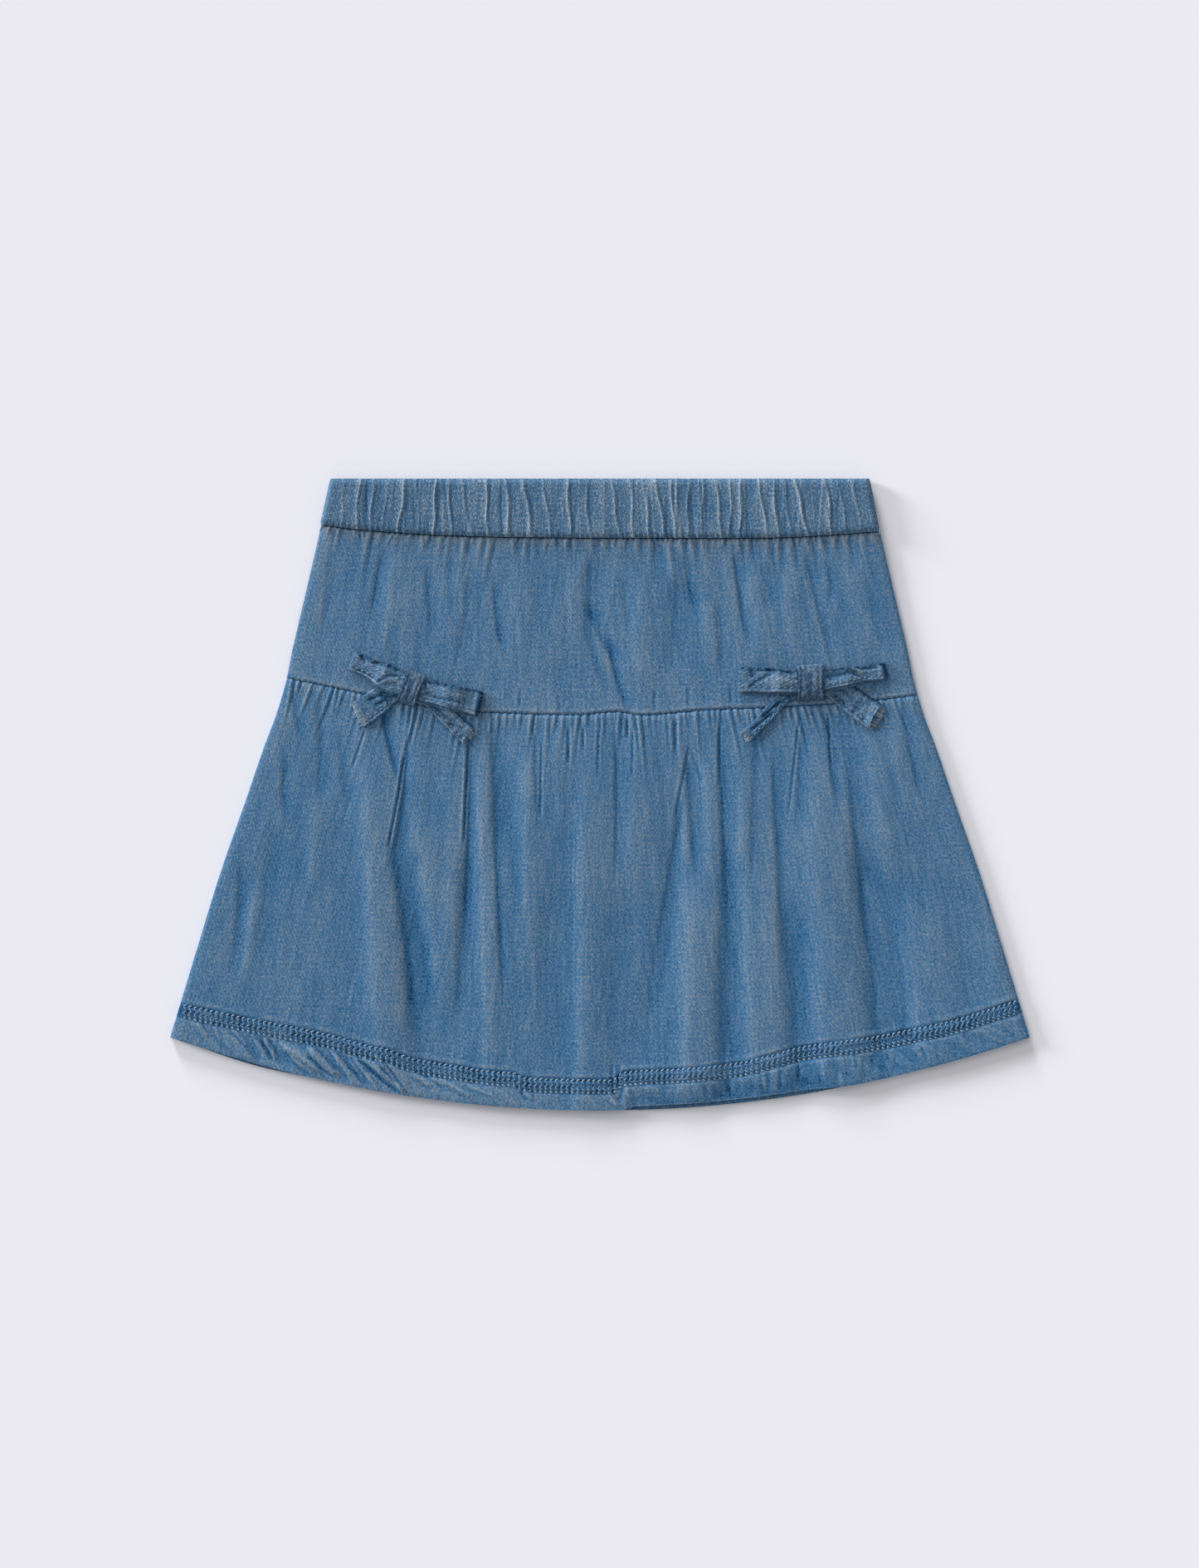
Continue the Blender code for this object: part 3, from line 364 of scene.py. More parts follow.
def gathers(across, below, seed, count, rise, reach):
    """Narrow pleats that run out of a seam: a crest and a sharper groove for each of them."""
    rng = np.random.default_rng(seed)
    places = (np.arange(count) + 0.5 + rng.uniform(-0.32, 0.32, count)) / count * 2 - 1
    lengths = reach * (0.35 + 1.3 * rng.uniform(0, 1, count) ** 2)
    sizes = rise * rng.uniform(0.45, 1.0, count)
    leans = rng.uniform(-0.010, 0.010, count)
    pitch = 2.0 / count
    total = np.zeros(np.shape(across))
    below = np.maximum(below, 0)
    for place, length, size, lean in zip(places, lengths, sizes, leans):
        fade = bell(below / length)
        d = (across - place - lean * below / reach) / pitch
        total += size * fade * (bell(d / 0.19) - 0.9 * peak((d - 0.40) / 0.11))
    return total


# The numbers in the forms below are depths, widths and reaches in millimetres, found by comparing
# renders with the photograph, and the seeds of the noise.


def front_form(folds, x, y):
    """The front's main form: a low loft with the long folds on it, rolled down at the sides."""
    inside = half_width(y) - np.abs(x)
    loft = FRONT_LOFT * (1 - 0.5 * np.exp(-np.maximum(inside, 0) / LOFT_WIDTH))
    spread = smooth_step(inside / FOLD_MARGIN)
    height = loft + spread * fold_rise(folds, x, y)
    over = height - LOFT_SOFT_LIMIT
    height = np.where(over > 0, LOFT_SOFT_LIMIT + over * LOFT_ABOVE_LIMIT, height)
    roll = (FRONT_LOWEST - FRONT_EDGE) * (1 - smooth_step(inside / EDGE_ROLL)) ** 2
    return FRONT_LOWEST + np.maximum(height, 0.0) - roll


def held_up(z):
    """Keep the front's outer side clear of the back that lies under it."""
    return LOWEST_OUTSIDE + np.maximum(z - LOWEST_OUTSIDE, 0.12 * np.tanh(z - LOWEST_OUTSIDE))


def ditch(distance, depth, width, swell):
    """A seam's ditch, with the cloth swelling beside it."""
    return swell * bell(distance / 4.5) - depth * peak(distance / width)


def yoke_outside(x, y):
    below = waist_seam(x) - y
    above_seam = y - yoke_seam(x)
    across = x / half_width(y)
    z = front_form(YOKE_FOLDS, x, y)
    z += WAIST_LIFT * np.exp(-np.maximum(below, 0) / WAIST_LIFT_REACH)
    z += gathers(across, below, 11, 96, 0.62, 3.2) + gathers(across, below, 17, 40, 0.46, 13.0)
    z += 0.30 * small_creases(x, y, 12, 90, 50, 118) + line_relief(YOKE_LINES, x, y)
    z += 0.10 * noise(x / 7, y / 30, 13) + 0.05 * noise(x / 2.6, y / 11, 14)
    z += 0.25 * gathers(across, above_seam, 15, 62, 0.55, 3.0)
    ticks = 0.72 + 0.28 * np.cos(2 * math.pi * x / 2.7 + 1.5 * noise(x / 11, y / 50, 16))
    z += ditch(above_seam, 0.9 * ticks, 0.6, 0.1) + ditch(below, 1.0 * ticks, 0.6, 0.1)
    z += 0.22 * (ticks - 0.4) * bell((above_seam - 1.4) / 0.6)
    return held_up(z)


def flounce_outside(x, y):
    below = yoke_seam(x) - y
    across = x / half_width(y)
    z = front_form(FLOUNCE_FOLDS, x, y)
    z += gathers(across, below, 21, 78, 0.52, 14.0) + gathers(across, below, 25, 112, 0.27, 5.0)
    z += 0.30 * small_creases(x, y, 22, 120, -90, 30) + line_relief(FLOUNCE_LINES, x, y)
    z += 0.07 * noise(x / 8, y / 34, 23) + 0.04 * noise(x / 2.8, y / 12, 24)
    z += ditch(below, 0.6, 0.6, 0.05)
    return held_up(z + hem_relief(x, y))


def hem_relief(x, y):
    """The doubled hem: its two sunk rows of stitches, and drag lines from them to its edge."""
    under = hem_stitch(x) - y
    edge = y - front_hem_edge(x)
    doubled = 0.45 * smooth_step((under + 0.6) / 2.0) - 0.12 * bell(edge / 0.9)
    upper_row = (0.85 + 0.4 * noise(x / 6, 0 * x, 36)) * bell((under - 0.4) / 0.7)
    lower_row = (0.85 + 0.4 * noise(x / 6, 0 * x, 37)) * bell((under - NEEDLE_GAUGE) / 0.7)
    rows = upper_row + lower_row
    between = bell((under - NEEDLE_GAUGE / 2) / 2.4)
    wobble = 2.2 * noise(x / 9, under / 30, 33)
    pucker = 0.16 + 0.10 * smooth_step((x - 70) / 50) + 0.05 * noise(x / 12, 0 * x, 38)
    stitch_pucker = pucker * np.cos(2 * math.pi * (x + 0.5 * under) / 2.6 + wobble) * between
    depth = (under - NEEDLE_GAUGE) / np.maximum(under + edge - NEEDLE_GAUGE, 1.0)
    body = smooth_step(depth * 6) * smooth_step((1.05 - depth) * 3)
    strength = 0.75 * smooth_step((-50 - x) / 60) * smooth_step((x + 182) / 20) + 0.28
    broad = noise((x - 1.0 * under) / 5.0, under / 14, 31)
    fine = noise((x - 0.6 * under) / 2.6, under / 9, 32)
    drag = 0.45 * broad + 0.6 * peak((broad - 0.25) / 0.12) - 0.4 * peak((broad + 0.05) / 0.12)
    drag += 0.22 * peak(fine / 0.10) - 0.1
    drag += 1.1 * noise(x / 2.2, under / 12, 39) * bell((x - 100) / 50)
    above = bell((under + 1.6) / 1.1) * (0.17 + 0.12 * noise(x / 6, under / 20, 34))
    pinch = bell((x - HEM_PINCH_X) / 3.2) * smooth_step((under + 4) / 5) * -0.15
    lowered = 0.8 * drawn_up(x) * bell(edge / 6)
    total = doubled - 0.45 * rows - 0.15 * between + stitch_pucker + above + pinch - lowered
    return total + strength * drag * body


def back_underside(folds, gather_count, seam, x, y):
    """The back's outer side rests flat, and only its creases and gathers are lifted off."""
    mirrored = -x
    creases = -fold_rise(folds, mirrored, y) / 2.0
    across = x / half_width(y)
    lifted = gathers(across, seam(mirrored) - y, gather_count, gather_count, 0.5, 14.0)
    lift = np.clip(creases, 0, 1) + np.clip(lifted, 0, 1)
    return BACK_UNDER_LIFT * np.clip(lift, 0, 1)


def place_grid(spans, top, bottom):
    """X and Y arrays over a panel, with rows from its top line to its bottom line.

    The rows stand closer at both lines, where the gathers and the hem are.
    """
    across = np.linspace(-1, 1, spans[0] + 1)[None, :]
    even = np.linspace(0, 1, spans[1] + 1)[:, None]
    share = even - ROW_CROWDING * np.sin(2 * math.pi * even) / (2 * math.pi)
    x = across * half_width(0.0) * np.ones_like(share)
    for _ in range(FAN_ROUNDS):
        y = top(x) + (bottom(x) - top(x)) * share
        x = across * half_width(y)
    return x, y


def blurred(values, radius):
    """Each value of a grid averaged with its neighbours, softly."""
    for axis in (0, 1):
        total, weight = np.zeros_like(values), 0.0
        for k in range(-radius, radius + 1):
            share = math.exp(-2 * (k / radius) ** 2)
            index = np.clip(np.arange(values.shape[axis]) + k, 0, values.shape[axis] - 1)
            total += share * np.take(values, index, axis=axis)
            weight += share
        values = total / weight
    return values


def linked(name, data):
    """A new object, put into the scene."""
    obj = bpy.data.objects.new(name, data)
    bpy.context.scene.collection.objects.link(obj)
    return obj


def mesh_object(name, vertices, faces, material, attributes=None, sharp=55):
    """A mesh object with point attributes, from millimetres."""
    mesh = bpy.data.meshes.new(name)
    mesh.from_pydata((np.asarray(vertices, dtype=float) * MM).tolist(), [], faces)
    for key, values in (attributes or {}).items():
        values = np.asarray(values, dtype=np.float32)
        kind, field = ("FLOAT_VECTOR", "vector") if values.ndim == 2 else ("FLOAT", "value")
        attribute = mesh.attributes.new(key, kind, "POINT")
        attribute.data.foreach_set(field, values.ravel())
    mesh.shade_smooth()
    mesh.set_sharp_from_angle(angle=math.radians(sharp))
    mesh.materials.append(material)
    return linked(name, mesh)


def lowest_around(values, radius):
    """The lowest value near each place of a grid."""
    for axis in (0, 1):
        last = values.shape[axis] - 1
        moved = [
            np.take(values, np.clip(np.arange(last + 1) + k, 0, last), axis=axis)
            for k in range(-radius, radius + 1)
        ]
        values = np.min(moved, axis=0)
    return values


def shell_faces(rows, columns):
    """Faces of a closed shell: a fine outer grid, a coarse inner grid and rims between them."""
    outer = np.arange(rows * columns).reshape(rows, columns)
    inner_shape = ((rows - 1) // INNER_STEP + 1, (columns - 1) // INNER_STEP + 1)
    inner = rows * columns + np.arange(inner_shape[0] * inner_shape[1]).reshape(inner_shape)

    def quads(a, b, c, d):
        return np.stack([a, b, c, d], axis=-1).reshape(-1, 4).tolist()

    faces = quads(outer[:-1, :-1], outer[1:, :-1], outer[1:, 1:], outer[:-1, 1:])
    faces += quads(inner[:-1, :-1], inner[:-1, 1:], inner[1:, 1:], inner[1:, :-1])
    rims = (
        (outer[0], inner[0]),
        (outer[-1, ::-1], inner[-1, ::-1]),
        (outer[::-1, 0], inner[::-1, 0]),
        (outer[:, -1], inner[:, -1]),
    )
    for fine, coarse in rims:
        for k in range(len(coarse) - 1):
            along = fine[k * INNER_STEP:(k + 1) * INNER_STEP + 1].tolist()
            faces.append(along + [int(coarse[k + 1]), int(coarse[k])])
    return faces


def shell(name, x, y, outer_z, thickness, material, grain, wear_and_shading, sides_reach=None):
    """A cloth shell under a height grid, with its weave's coordinates and its wear and painted
    shading.

    Where sides_reach is given, both sides turn down to that height, as at a side seam.
    """
    rows, columns = x.shape
    inner_z = lowest_around(outer_z, 2)
    inner_z[[0, -1]] = outer_z[[0, -1]]
    inner_z[:, [0, -1]] = outer_z[:, [0, -1]]
    if sides_reach is not None:
        thickness = np.broadcast_to(thickness, x.shape).copy()
        thickness[:, [0, -1]] = inner_z[:, [0, -1]] - sides_reach
    coarse = (slice(None, None, INNER_STEP), slice(None, None, INNER_STEP))
    outer = np.stack([x, y, outer_z], axis=-1)
    inner = np.stack([x, y, inner_z - thickness], axis=-1)[coarse]
    vertices = np.concatenate([outer.reshape(-1, 3), inner.reshape(-1, 3)])
    both = {
        "grain": np.concatenate([grain.reshape(-1, 3), grain[coarse].reshape(-1, 3)]),
        "wear_and_shading": np.concatenate([wear_and_shading.ravel(), 0 * wear_and_shading[coarse].ravel()]),
    }
    return mesh_object(name, vertices, shell_faces(rows, columns), material, both)


def grain_of(x, y, middle_y):
    """The weave runs with the fan of the panel, so it is closer together at the top."""
    across = x / half_width(y) * half_width(middle_y)
    return np.stack([across, y, 0 * x], axis=-1)


def wear_and_shading_of(z, radius):
    """How worn a point is, with painted shade in grooves and painted light on crests: -1 in a
    groove and 1 on a crest, from its fine and its broad relief.
    """
    fine = np.clip((z - blurred(z, radius)) / 0.15, -1.8, 1.1)
    broad = np.clip((z - blurred(blurred(z, 3 * radius), 3 * radius)) / 0.55, -1, 1)
    columns = np.arange(z.shape[1])
    inside = smooth_step(np.minimum(columns, columns[::-1]) / (1.5 * radius))
    return (0.6 * fine + 0.5 * broad) * inside


def node(tree, kind, inputs=(), **settings):
    """A new node, with a value or a link for each input that is given."""
    made = tree.nodes.new(kind)
    for key, value in settings.items():
        setattr(made, key, value)
    for key, value in dict(inputs).items():
        if isinstance(value, bpy.types.NodeSocket):
            tree.links.new(value, made.inputs[key])
        else:
            made.inputs[key].default_value = value
    return made


def maths(tree, operation, a, b):
    return node(tree, "ShaderNodeMath", {0: a, 1: b}, operation=operation).outputs[0]


def scaled(tree, vector, x, y):
    return node(tree, "ShaderNodeMapping", {"Vector": vector, "Scale": (x, y, 1.0)}).outputs[0]


def weighted_sum(tree, start, terms):
    """start plus each value less a half times its weight."""
    total = start
    for value, weight in terms:
        centred = maths(tree, "SUBTRACT", value, 0.5)
        total = maths(tree, "ADD", total, maths(tree, "MULTIPLY", centred, weight))
    return total


def colour_ramp(tree, value, stops):
    """The colour of a value between places on a scale, each with its own colour."""
    made = node(tree, "ShaderNodeValToRGB", {"Fac": value})
    elements = made.color_ramp.elements
    for k, (place, colour) in ((0, stops[0]), (1, stops[-1])):
        elements[k].position = place
        elements[k].color = colour
    for place, colour in stops[1:-1]:
        elements.new(place).color = colour
    return made.outputs["Color"]


def new_material(name, values):
    """A material with its node tree and its shader, whose sockets take the values."""
    material = bpy.data.materials.new(name)
    material.use_nodes = True
    shader = material.node_tree.nodes["Principled BSDF"]
    for key, value in values.items():
        shader.inputs[key].default_value = value
    return material, material.node_tree, shader


def denim(name, dark, middle, light, wear_and_shading_weight=0.17, wash_weight=0.22):
    """Washed denim: twill, slubs, speckle and wash marks, paler on crests from wear and painted
    light, deeper in grooves from painted shade.
    """
    looks = {"Roughness": 0.92, "Specular IOR Level": 0.1, "Sheen Weight": 0.04}
    material, tree, shader = new_material(name, {**looks, "Sheen Roughness": 0.5})
    grain = node(tree, "ShaderNodeAttribute", attribute_name="grain").outputs["Vector"]
    wear_and_shading = node(tree, "ShaderNodeAttribute", attribute_name="wear_and_shading").outputs["Fac"]

    def field(x, y, detail=2.0):
        inputs = {"Vector": scaled(tree, grain, x, y), "Scale": 1.0, "Detail": detail}
        return node(tree, "ShaderNodeTexNoise", inputs).outputs["Fac"]

    weave = {"Vector": scaled(tree, grain, 1.0, 0.62), "Scale": 0.42, "Distortion": 0.9}
    weave.update({"Detail": 1.0, "Detail Scale": 1.4})
    kind = {"wave_type": "BANDS", "bands_direction": "DIAGONAL"}
    twill = node(tree, "ShaderNodeTexWave", weave, **kind).outputs["Fac"]
    slub, weft, speckle = field(0.9, 0.07, 3.0), field(0.05, 1.1), field(1.05, 0.85)
    wash, streak = field(0.035, 0.014), field(0.16, 0.018)
    worn_and_shaded = maths(tree, "ADD", maths(tree, "MULTIPLY", wear_and_shading, wear_and_shading_weight), 0.5)
    marks = ((slub, 0.50), (weft, 0.20), (speckle, 1.25), (twill, 0.10))
    level = weighted_sum(tree, worn_and_shaded, marks + ((wash, wash_weight), (streak, wash_weight)))
    stops = ((0.0, PAINTED_SHADE_DARK), (0.16, dark), (0.5, middle), (0.92, light))
    tree.links.new(colour_ramp(tree, level, stops), shader.inputs["Base Color"])
    height = weighted_sum(tree, 0.5, ((twill, 0.5), (speckle, 0.9), (slub, 0.5)))
    bump = node(tree, "ShaderNodeBump", {"Height": height, "Strength": 0.5, "Distance": 0.00016})
    tree.links.new(bump.outputs["Normal"], shader.inputs["Normal"])
    return material


def thread_material(name, colour):
    """Thread with darker and paler places along its twist."""
    material, tree, shader = new_material(name, {"Roughness": 0.7})
    place = node(tree, "ShaderNodeTexCoord").outputs["Object"]
    twist = node(tree, "ShaderNodeTexNoise", {"Vector": place, "Scale": 1600.0}).outputs["Fac"]
    stops = [(at, [tone * c for c in colour] + [1.0]) for at, tone in ((0.3, 0.55), (0.7, 1.25))]
    tree.links.new(colour_ramp(tree, twist, stops), shader.inputs["Base Color"])
    return material


def sewn(piece, replaces):
    """Attach a cloth piece to the body, and hide the model's parts that it replaces."""
    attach(piece, BODY)
    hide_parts(*replaces)


# Colours as linear values.
# The darkest colour, reached by painted shade: along the bows' shaded edges, in their turns and in
# the deepest grooves.
PAINTED_SHADE_DARK = (0.006, 0.022, 0.050, 1)
DENIM_DARK = (0.012, 0.092, 0.225, 1)
DENIM_MIDDLE = (0.064, 0.158, 0.286, 1)
DENIM_LIGHT = (0.212, 0.274, 0.342, 1)
BAND_DARK = (0.020, 0.075, 0.165, 1)
BAND_MIDDLE = (0.060, 0.138, 0.240, 1)
BAND_LIGHT = (0.300, 0.362, 0.415, 1)
THREAD = (0.165, 0.250, 0.340)
DARK_THREAD = (0.030, 0.075, 0.140)
COVER_THREAD = (0.120, 0.200, 0.290)
BOW_MIDDLE = (0.064, 0.142, 0.244, 1)
BOW_LIGHT = (0.240, 0.292, 0.345, 1)
KNOT_DARK = (0.018, 0.055, 0.120, 1)
KNOT_MIDDLE = (0.066, 0.118, 0.186, 1)
KNOT_LIGHT = (0.190, 0.235, 0.290, 1)
PALE_THREAD = (0.300, 0.380, 0.460)

skirt_denim = denim("skirt_denim", DENIM_DARK, DENIM_MIDDLE, DENIM_LIGHT)
band_denim = denim("band_denim", BAND_DARK, BAND_MIDDLE, BAND_LIGHT, 0.27, 0.10)
bow_denim = denim("bow_denim", BAND_DARK, BOW_MIDDLE, BOW_LIGHT, 0.17, 0.2)
knot_denim = denim("knot_denim", KNOT_DARK, KNOT_MIDDLE, KNOT_LIGHT, 0.17, 0.2)
thread = thread_material("thread", THREAD)
dark_thread = thread_material("dark_thread", DARK_THREAD)
cover_thread = thread_material("cover_thread", COVER_THREAD)
pale_thread = thread_material("pale_thread", PALE_THREAD)


def yoke_front():
    x, y = place_grid(
        YOKE_SPANS, lambda x: waist_seam(x) - SEAM_HALF_GAP, lambda x: yoke_seam(x) + SEAM_HALF_GAP
    )
    z = yoke_outside(x, y)
    below = waist_seam(x) - y
    wear_and_shading = 1.15 * wear_and_shading_of(z, FRONT_WEAR_SHADING_REACH) + 0.13
    # Painted light below the waist seam, which lifts the gathers there out of the waistband's
    # shade.
    wear_and_shading += 0.4 * np.exp(-below / 9) + 0.8 * np.exp(-below / 2.2)
    # A pale line just above the yoke seam: painted highlight on the cloth's swell there.
    wear_and_shading += (0.15 + 0.4 * noise(x / 2.2, 0 * x, 18)) * bell((y - yoke_seam(x) - 1.3) / 0.6)
    grain = grain_of(x, y, YOKE_MIDDLE_Y)
    piece = shell("yoke_front_cloth", x, y, z, CLOTH, skirt_denim, grain, wear_and_shading, SIDE_FOOT)
    sewn(piece, ("yoke_front",))
    return piece


def flounce_front():
    x, y = place_grid(FLOUNCE_SPANS, lambda x: yoke_seam(x) - SEAM_HALF_GAP, front_hem_edge)
    z = flounce_outside(x, y)
    under = hem_stitch(x) - y
    thickness = CLOTH + HEM_EXTRA * smooth_step(under / 1.5)
    wear_and_shading = wear_and_shading_of(z, FRONT_WEAR_SHADING_REACH)
    # The band between the hem's two rows of stitches is darker: painted shade among the stitches.
    wear_and_shading -= 1.25 * smooth_step((4.1 - np.abs(under - NEEDLE_GAUGE / 2)) / 1.2)
    # A pale line just above the hem's upper row of stitches: painted highlight on the raised cloth
    # there.
    wear_and_shading += (0.45 + 0.45 * noise(x / 5, y / 90, 35)) * bell((under + 1.3) / 0.5)
    wear_and_shading -= 0.7 * bell((x - 95) / 60) * smooth_step((under - 7) / 2)
    # More painted shade among the stitches, below the upper row.
    wear_and_shading -= (0.6 + 0.6 * noise(x / 9, 0 * x, 40)) * bell((under - 2.2) / 2.4)
    wear_and_shading += 0.35 * smooth_step((under - 7.4) / 1.2) * smooth_step((40 - x) / 40)
    wear_and_shading += 1.6 * drawn_up(x) * bell((y - front_hem_edge(x)) / 0.7)
    grain = grain_of(x, y, FLOUNCE_MIDDLE_Y)
    piece = shell("flounce_front_cloth", x, y, z, thickness, skirt_denim, grain, wear_and_shading, SIDE_FOOT)
    sewn(piece, ("flounce_front",))
    return piece


def back_panel(name, node_name, folds, count, seam, top, bottom, hem_lift, spans):
    """A back panel: its outer side lies under it, flat but for its creases."""
    x, y = place_grid(spans, top, bottom)
    under = back_underside(folds, count, seam, x, y)
    under += hem_lift * drawn_up(-x) * bell((y - bottom(x)) / 7)
    grain = grain_of(x, y, 0.0)
    wear_and_shading = wear_and_shading_of(-under, BACK_WEAR_SHADING_REACH)
    piece = shell(name, x, y, -under, CLOTH, skirt_denim, grain, wear_and_shading)
    piece.data.transform(Matrix.Rotation(math.pi, 4, "Y"))
    sewn(piece, (node_name,))


def band_relief(x, height):
    """The gathered casing, with height from 0 at the seam to 1: ridges, hollows, fine creases."""
    total = 0.10 * noise(x / 5.5, height * 1.3, 41) + 0.06 * noise(x / 1.9, height * 2.2, 42)
    ends = 1 - 0.35 * np.square(2 * height - 1)
    for k, (x_top, x_seam, rise) in enumerate(BAND_RIDGES):
        path = x_seam + (x_top - x_seam) * height
        d = x - path - 0.5 * np.sin(2.2 * math.pi * height + k)
        crest = 0.9 * peak(d / 0.5) - 0.35 * bell((d - 1.3) / 0.8) + 0.12 * bell(d / 2.5)
        total += 0.55 * rise * ends * crest
    rng = np.random.default_rng(43)
    for _ in range(BAND_CREASES):
        top, lean = rng.uniform(-124, 124), rng.uniform(-2.5, 2.5)
        middle, length = rng.uniform(0, 1), rng.uniform(0.25, 0.9)
        size = rng.uniform(0.10, 0.34) * rng.choice((-0.8, 1.0))
        d = x - top - lean * height
        total += size * peak(d / 0.55) * bell((height - middle) / length)
    return total


def ring_faces(stations, points, closed=True):
    """Quads between rings of points, from the last to the first too or with capped ends."""
    index = np.arange(stations * points).reshape(stations, points)
    after = np.roll(index, -1, axis=0)
    corners = (index, np.roll(index, -1, axis=1), np.roll(after, -1, axis=1), after)
    faces = np.stack(corners, axis=-1)
    if closed:
        return faces.reshape(-1, 4).tolist()
    return faces[:-1].reshape(-1, 4).tolist() + [index[0].tolist(), index[-1, ::-1].tolist()]


def waistband():
    """A closed ring: its outer side from the seam up, over the top edge and down the inside."""
    turn_top = float(half_width(TOP_Y)) - BAND_HEIGHT / 2
    turn_seam = float(half_width(BAND_FOOT_Y)) - BAND_HEIGHT / 2
    turned = np.arange(1, BAND_TURN_SPANS) / BAND_TURN_SPANS
    ones = np.ones(BAND_TURN_SPANS - 1)
    front = np.linspace(-1, 1, BAND_FRONT_SPANS + 1)
    back = np.linspace(1, -1, BAND_BACK_SPANS + 1)
    share = np.concatenate([front, ones, back, -ones])[:, None]
    angle = math.pi * np.concatenate([0 * front, turned, 0 * back + 1, 1 + turned])[:, None]
    level = np.linspace(0, 1, BAND_LEVELS)[None, :]

    x = share * (turn_seam + (turn_top - turn_seam) * level)
    seam = waist_seam(x)
    length = TOP_Y - seam
    amount = smooth_step((1 - np.abs(share)) * 20)
    raised = band_relief(x, level)
    sunk = -np.minimum(0.35, 0.6 * np.abs(band_relief(-x, level)))
    relief = np.where(np.cos(angle) > 0, raised, sunk) * amount
    from_bottom, from_top = level * length, (1 - level) * length
    half = BAND_WALL / 2
    at_side = np.abs(np.sin(angle))
    scallop = 1.0 + 0.35 * np.cos(2 * math.pi * x / 2.7 + 2 * noise(x / 9, 0 * x, 45))
    pinch = scallop * np.exp(-from_bottom / 0.75) + (1.15 - 0.9 * at_side) * bell(from_top / 1.1)
    offset = half - pinch + relief * (1 - 0.5 * np.exp(-from_top))
    y = seam + SEAM_HALF_GAP + length * level + 0.25 * relief * np.exp(-from_top / 1.2)
    y = np.minimum(y, TOP_Y + 0.6)

    column = np.ones_like(share)
    low = seam[:, :1]
    offset = np.concatenate([offset, 0 * column] + [-half * column] * 3, axis=1)
    inner_y = [TOP_Y + 0.05 * column, TOP_Y - 0.7 * column, (TOP_Y + low) / 2, low + 0.9]
    y = np.concatenate([y] + inner_y, axis=1)
    top, foot = x[:, -1:], x[:, :1]
    x = np.concatenate([x, top, top, (top + foot) / 2, foot], axis=1)
    relief = np.concatenate([relief] + [0 * column] * 4, axis=1)
    turn = half + BAND_TURN_GAP
    x = x + np.sin(angle) * (turn + offset)
    z = BAND_HEIGHT / 2 + np.cos(angle) * (turn + offset)

    vertices = np.stack([x, y, z], axis=-1).reshape(-1, 3)
    middle = BAND_LEVELS // 2 - 1
    steps = np.hypot(np.diff(x[:, middle]), np.diff(z[:, middle]))
    travelled = np.concatenate([[0.0], np.cumsum(steps)]) * BAND_GRAIN
    grain = np.stack([travelled[:, None] + 0 * x, y, 0 * x], axis=-1).reshape(-1, 3)
    # Paler on the ridges from wear and painted light, darker in the hollows from painted shade.
    looks = {"grain": grain, "wear_and_shading": np.clip(relief.ravel() / BAND_WEAR_SHADING_RELIEF, -1, 1)}
    piece = mesh_object("waistband_cloth", vertices, ring_faces(*x.shape), band_denim, looks)
    outward_closed(piece)
    sewn(piece, ("waistband",))


def outward_closed(obj):
    """Turn a closed mesh's faces outwards."""
    bm = bmesh.new()
    bm.from_mesh(obj.data)
    bmesh.ops.recalc_face_normals(bm, faces=bm.faces)
    bm.to_mesh(obj.data)
    bm.free()


def stitches(name, places, size, material):
    """Short threads joined into one mesh, each a low rounded bar of length, width and height."""
    length, width, height = size
    ring = ((-0.5, 0.0), (-0.32, 0.62), (0.32, 0.62), (0.5, 0.0), (0.32, -0.5), (-0.32, -0.5))
    steps = ((-0.5, 0.35), (-0.36, 0.9), (0.0, 1.0), (0.36, 0.9), (0.5, 0.35))
    sides = len(ring)
    vertices, faces = [], []
    for point, direction, up in places:
        side = direction.cross(up).normalized()
        first = len(vertices)
        for share, swell in steps:
            centre = point + direction * (share * length)
            for a, b in ring:
                vertices.append(centre + side * (a * width * swell) + up * (b * height * swell))
        for s in range(len(steps) - 1):
            for k in range(sides):
                a = first + s * sides + k
                b = first + s * sides + (k + 1) % sides
                faces.append((a, b, b + sides, a + sides))
        last = first + (len(steps) - 1) * sides
        faces.append(tuple(range(first + sides - 1, first - 1, -1)))
        faces.append(tuple(range(last, last + sides)))
    piece = mesh_object(name, [tuple(v) for v in vertices], faces, material, sharp=80)
    outward_closed(piece)
    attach(piece, BODY)


def stitch_row(line, x_from, x_to, pitch, surface, lean=0.0, lift=THREAD_LIFT):
    """Stitches along a line on a surface: the point, direction and up of each."""
    xs = np.linspace(x_from, x_to, int((x_to - x_from) / pitch) + 1)
    ys = line(xs)
    step = 0.8
    places = []
    for x, y, z in zip(xs, ys, surface(xs, ys)):
        ahead = np.array([x - step, x + step])
        level = surface(ahead, line(ahead))
        run = Vector((2 * step, float(np.diff(line(ahead))[0]), float(np.diff(level)[0])))
        run.normalize()
        turned = Matrix.Rotation(lean, 3, "Z") @ run
        up = (UP - turned * turned.z).normalized()
        places.append((Vector((x, float(y), float(z) + lift)), turned.normalized(), up))
    return places


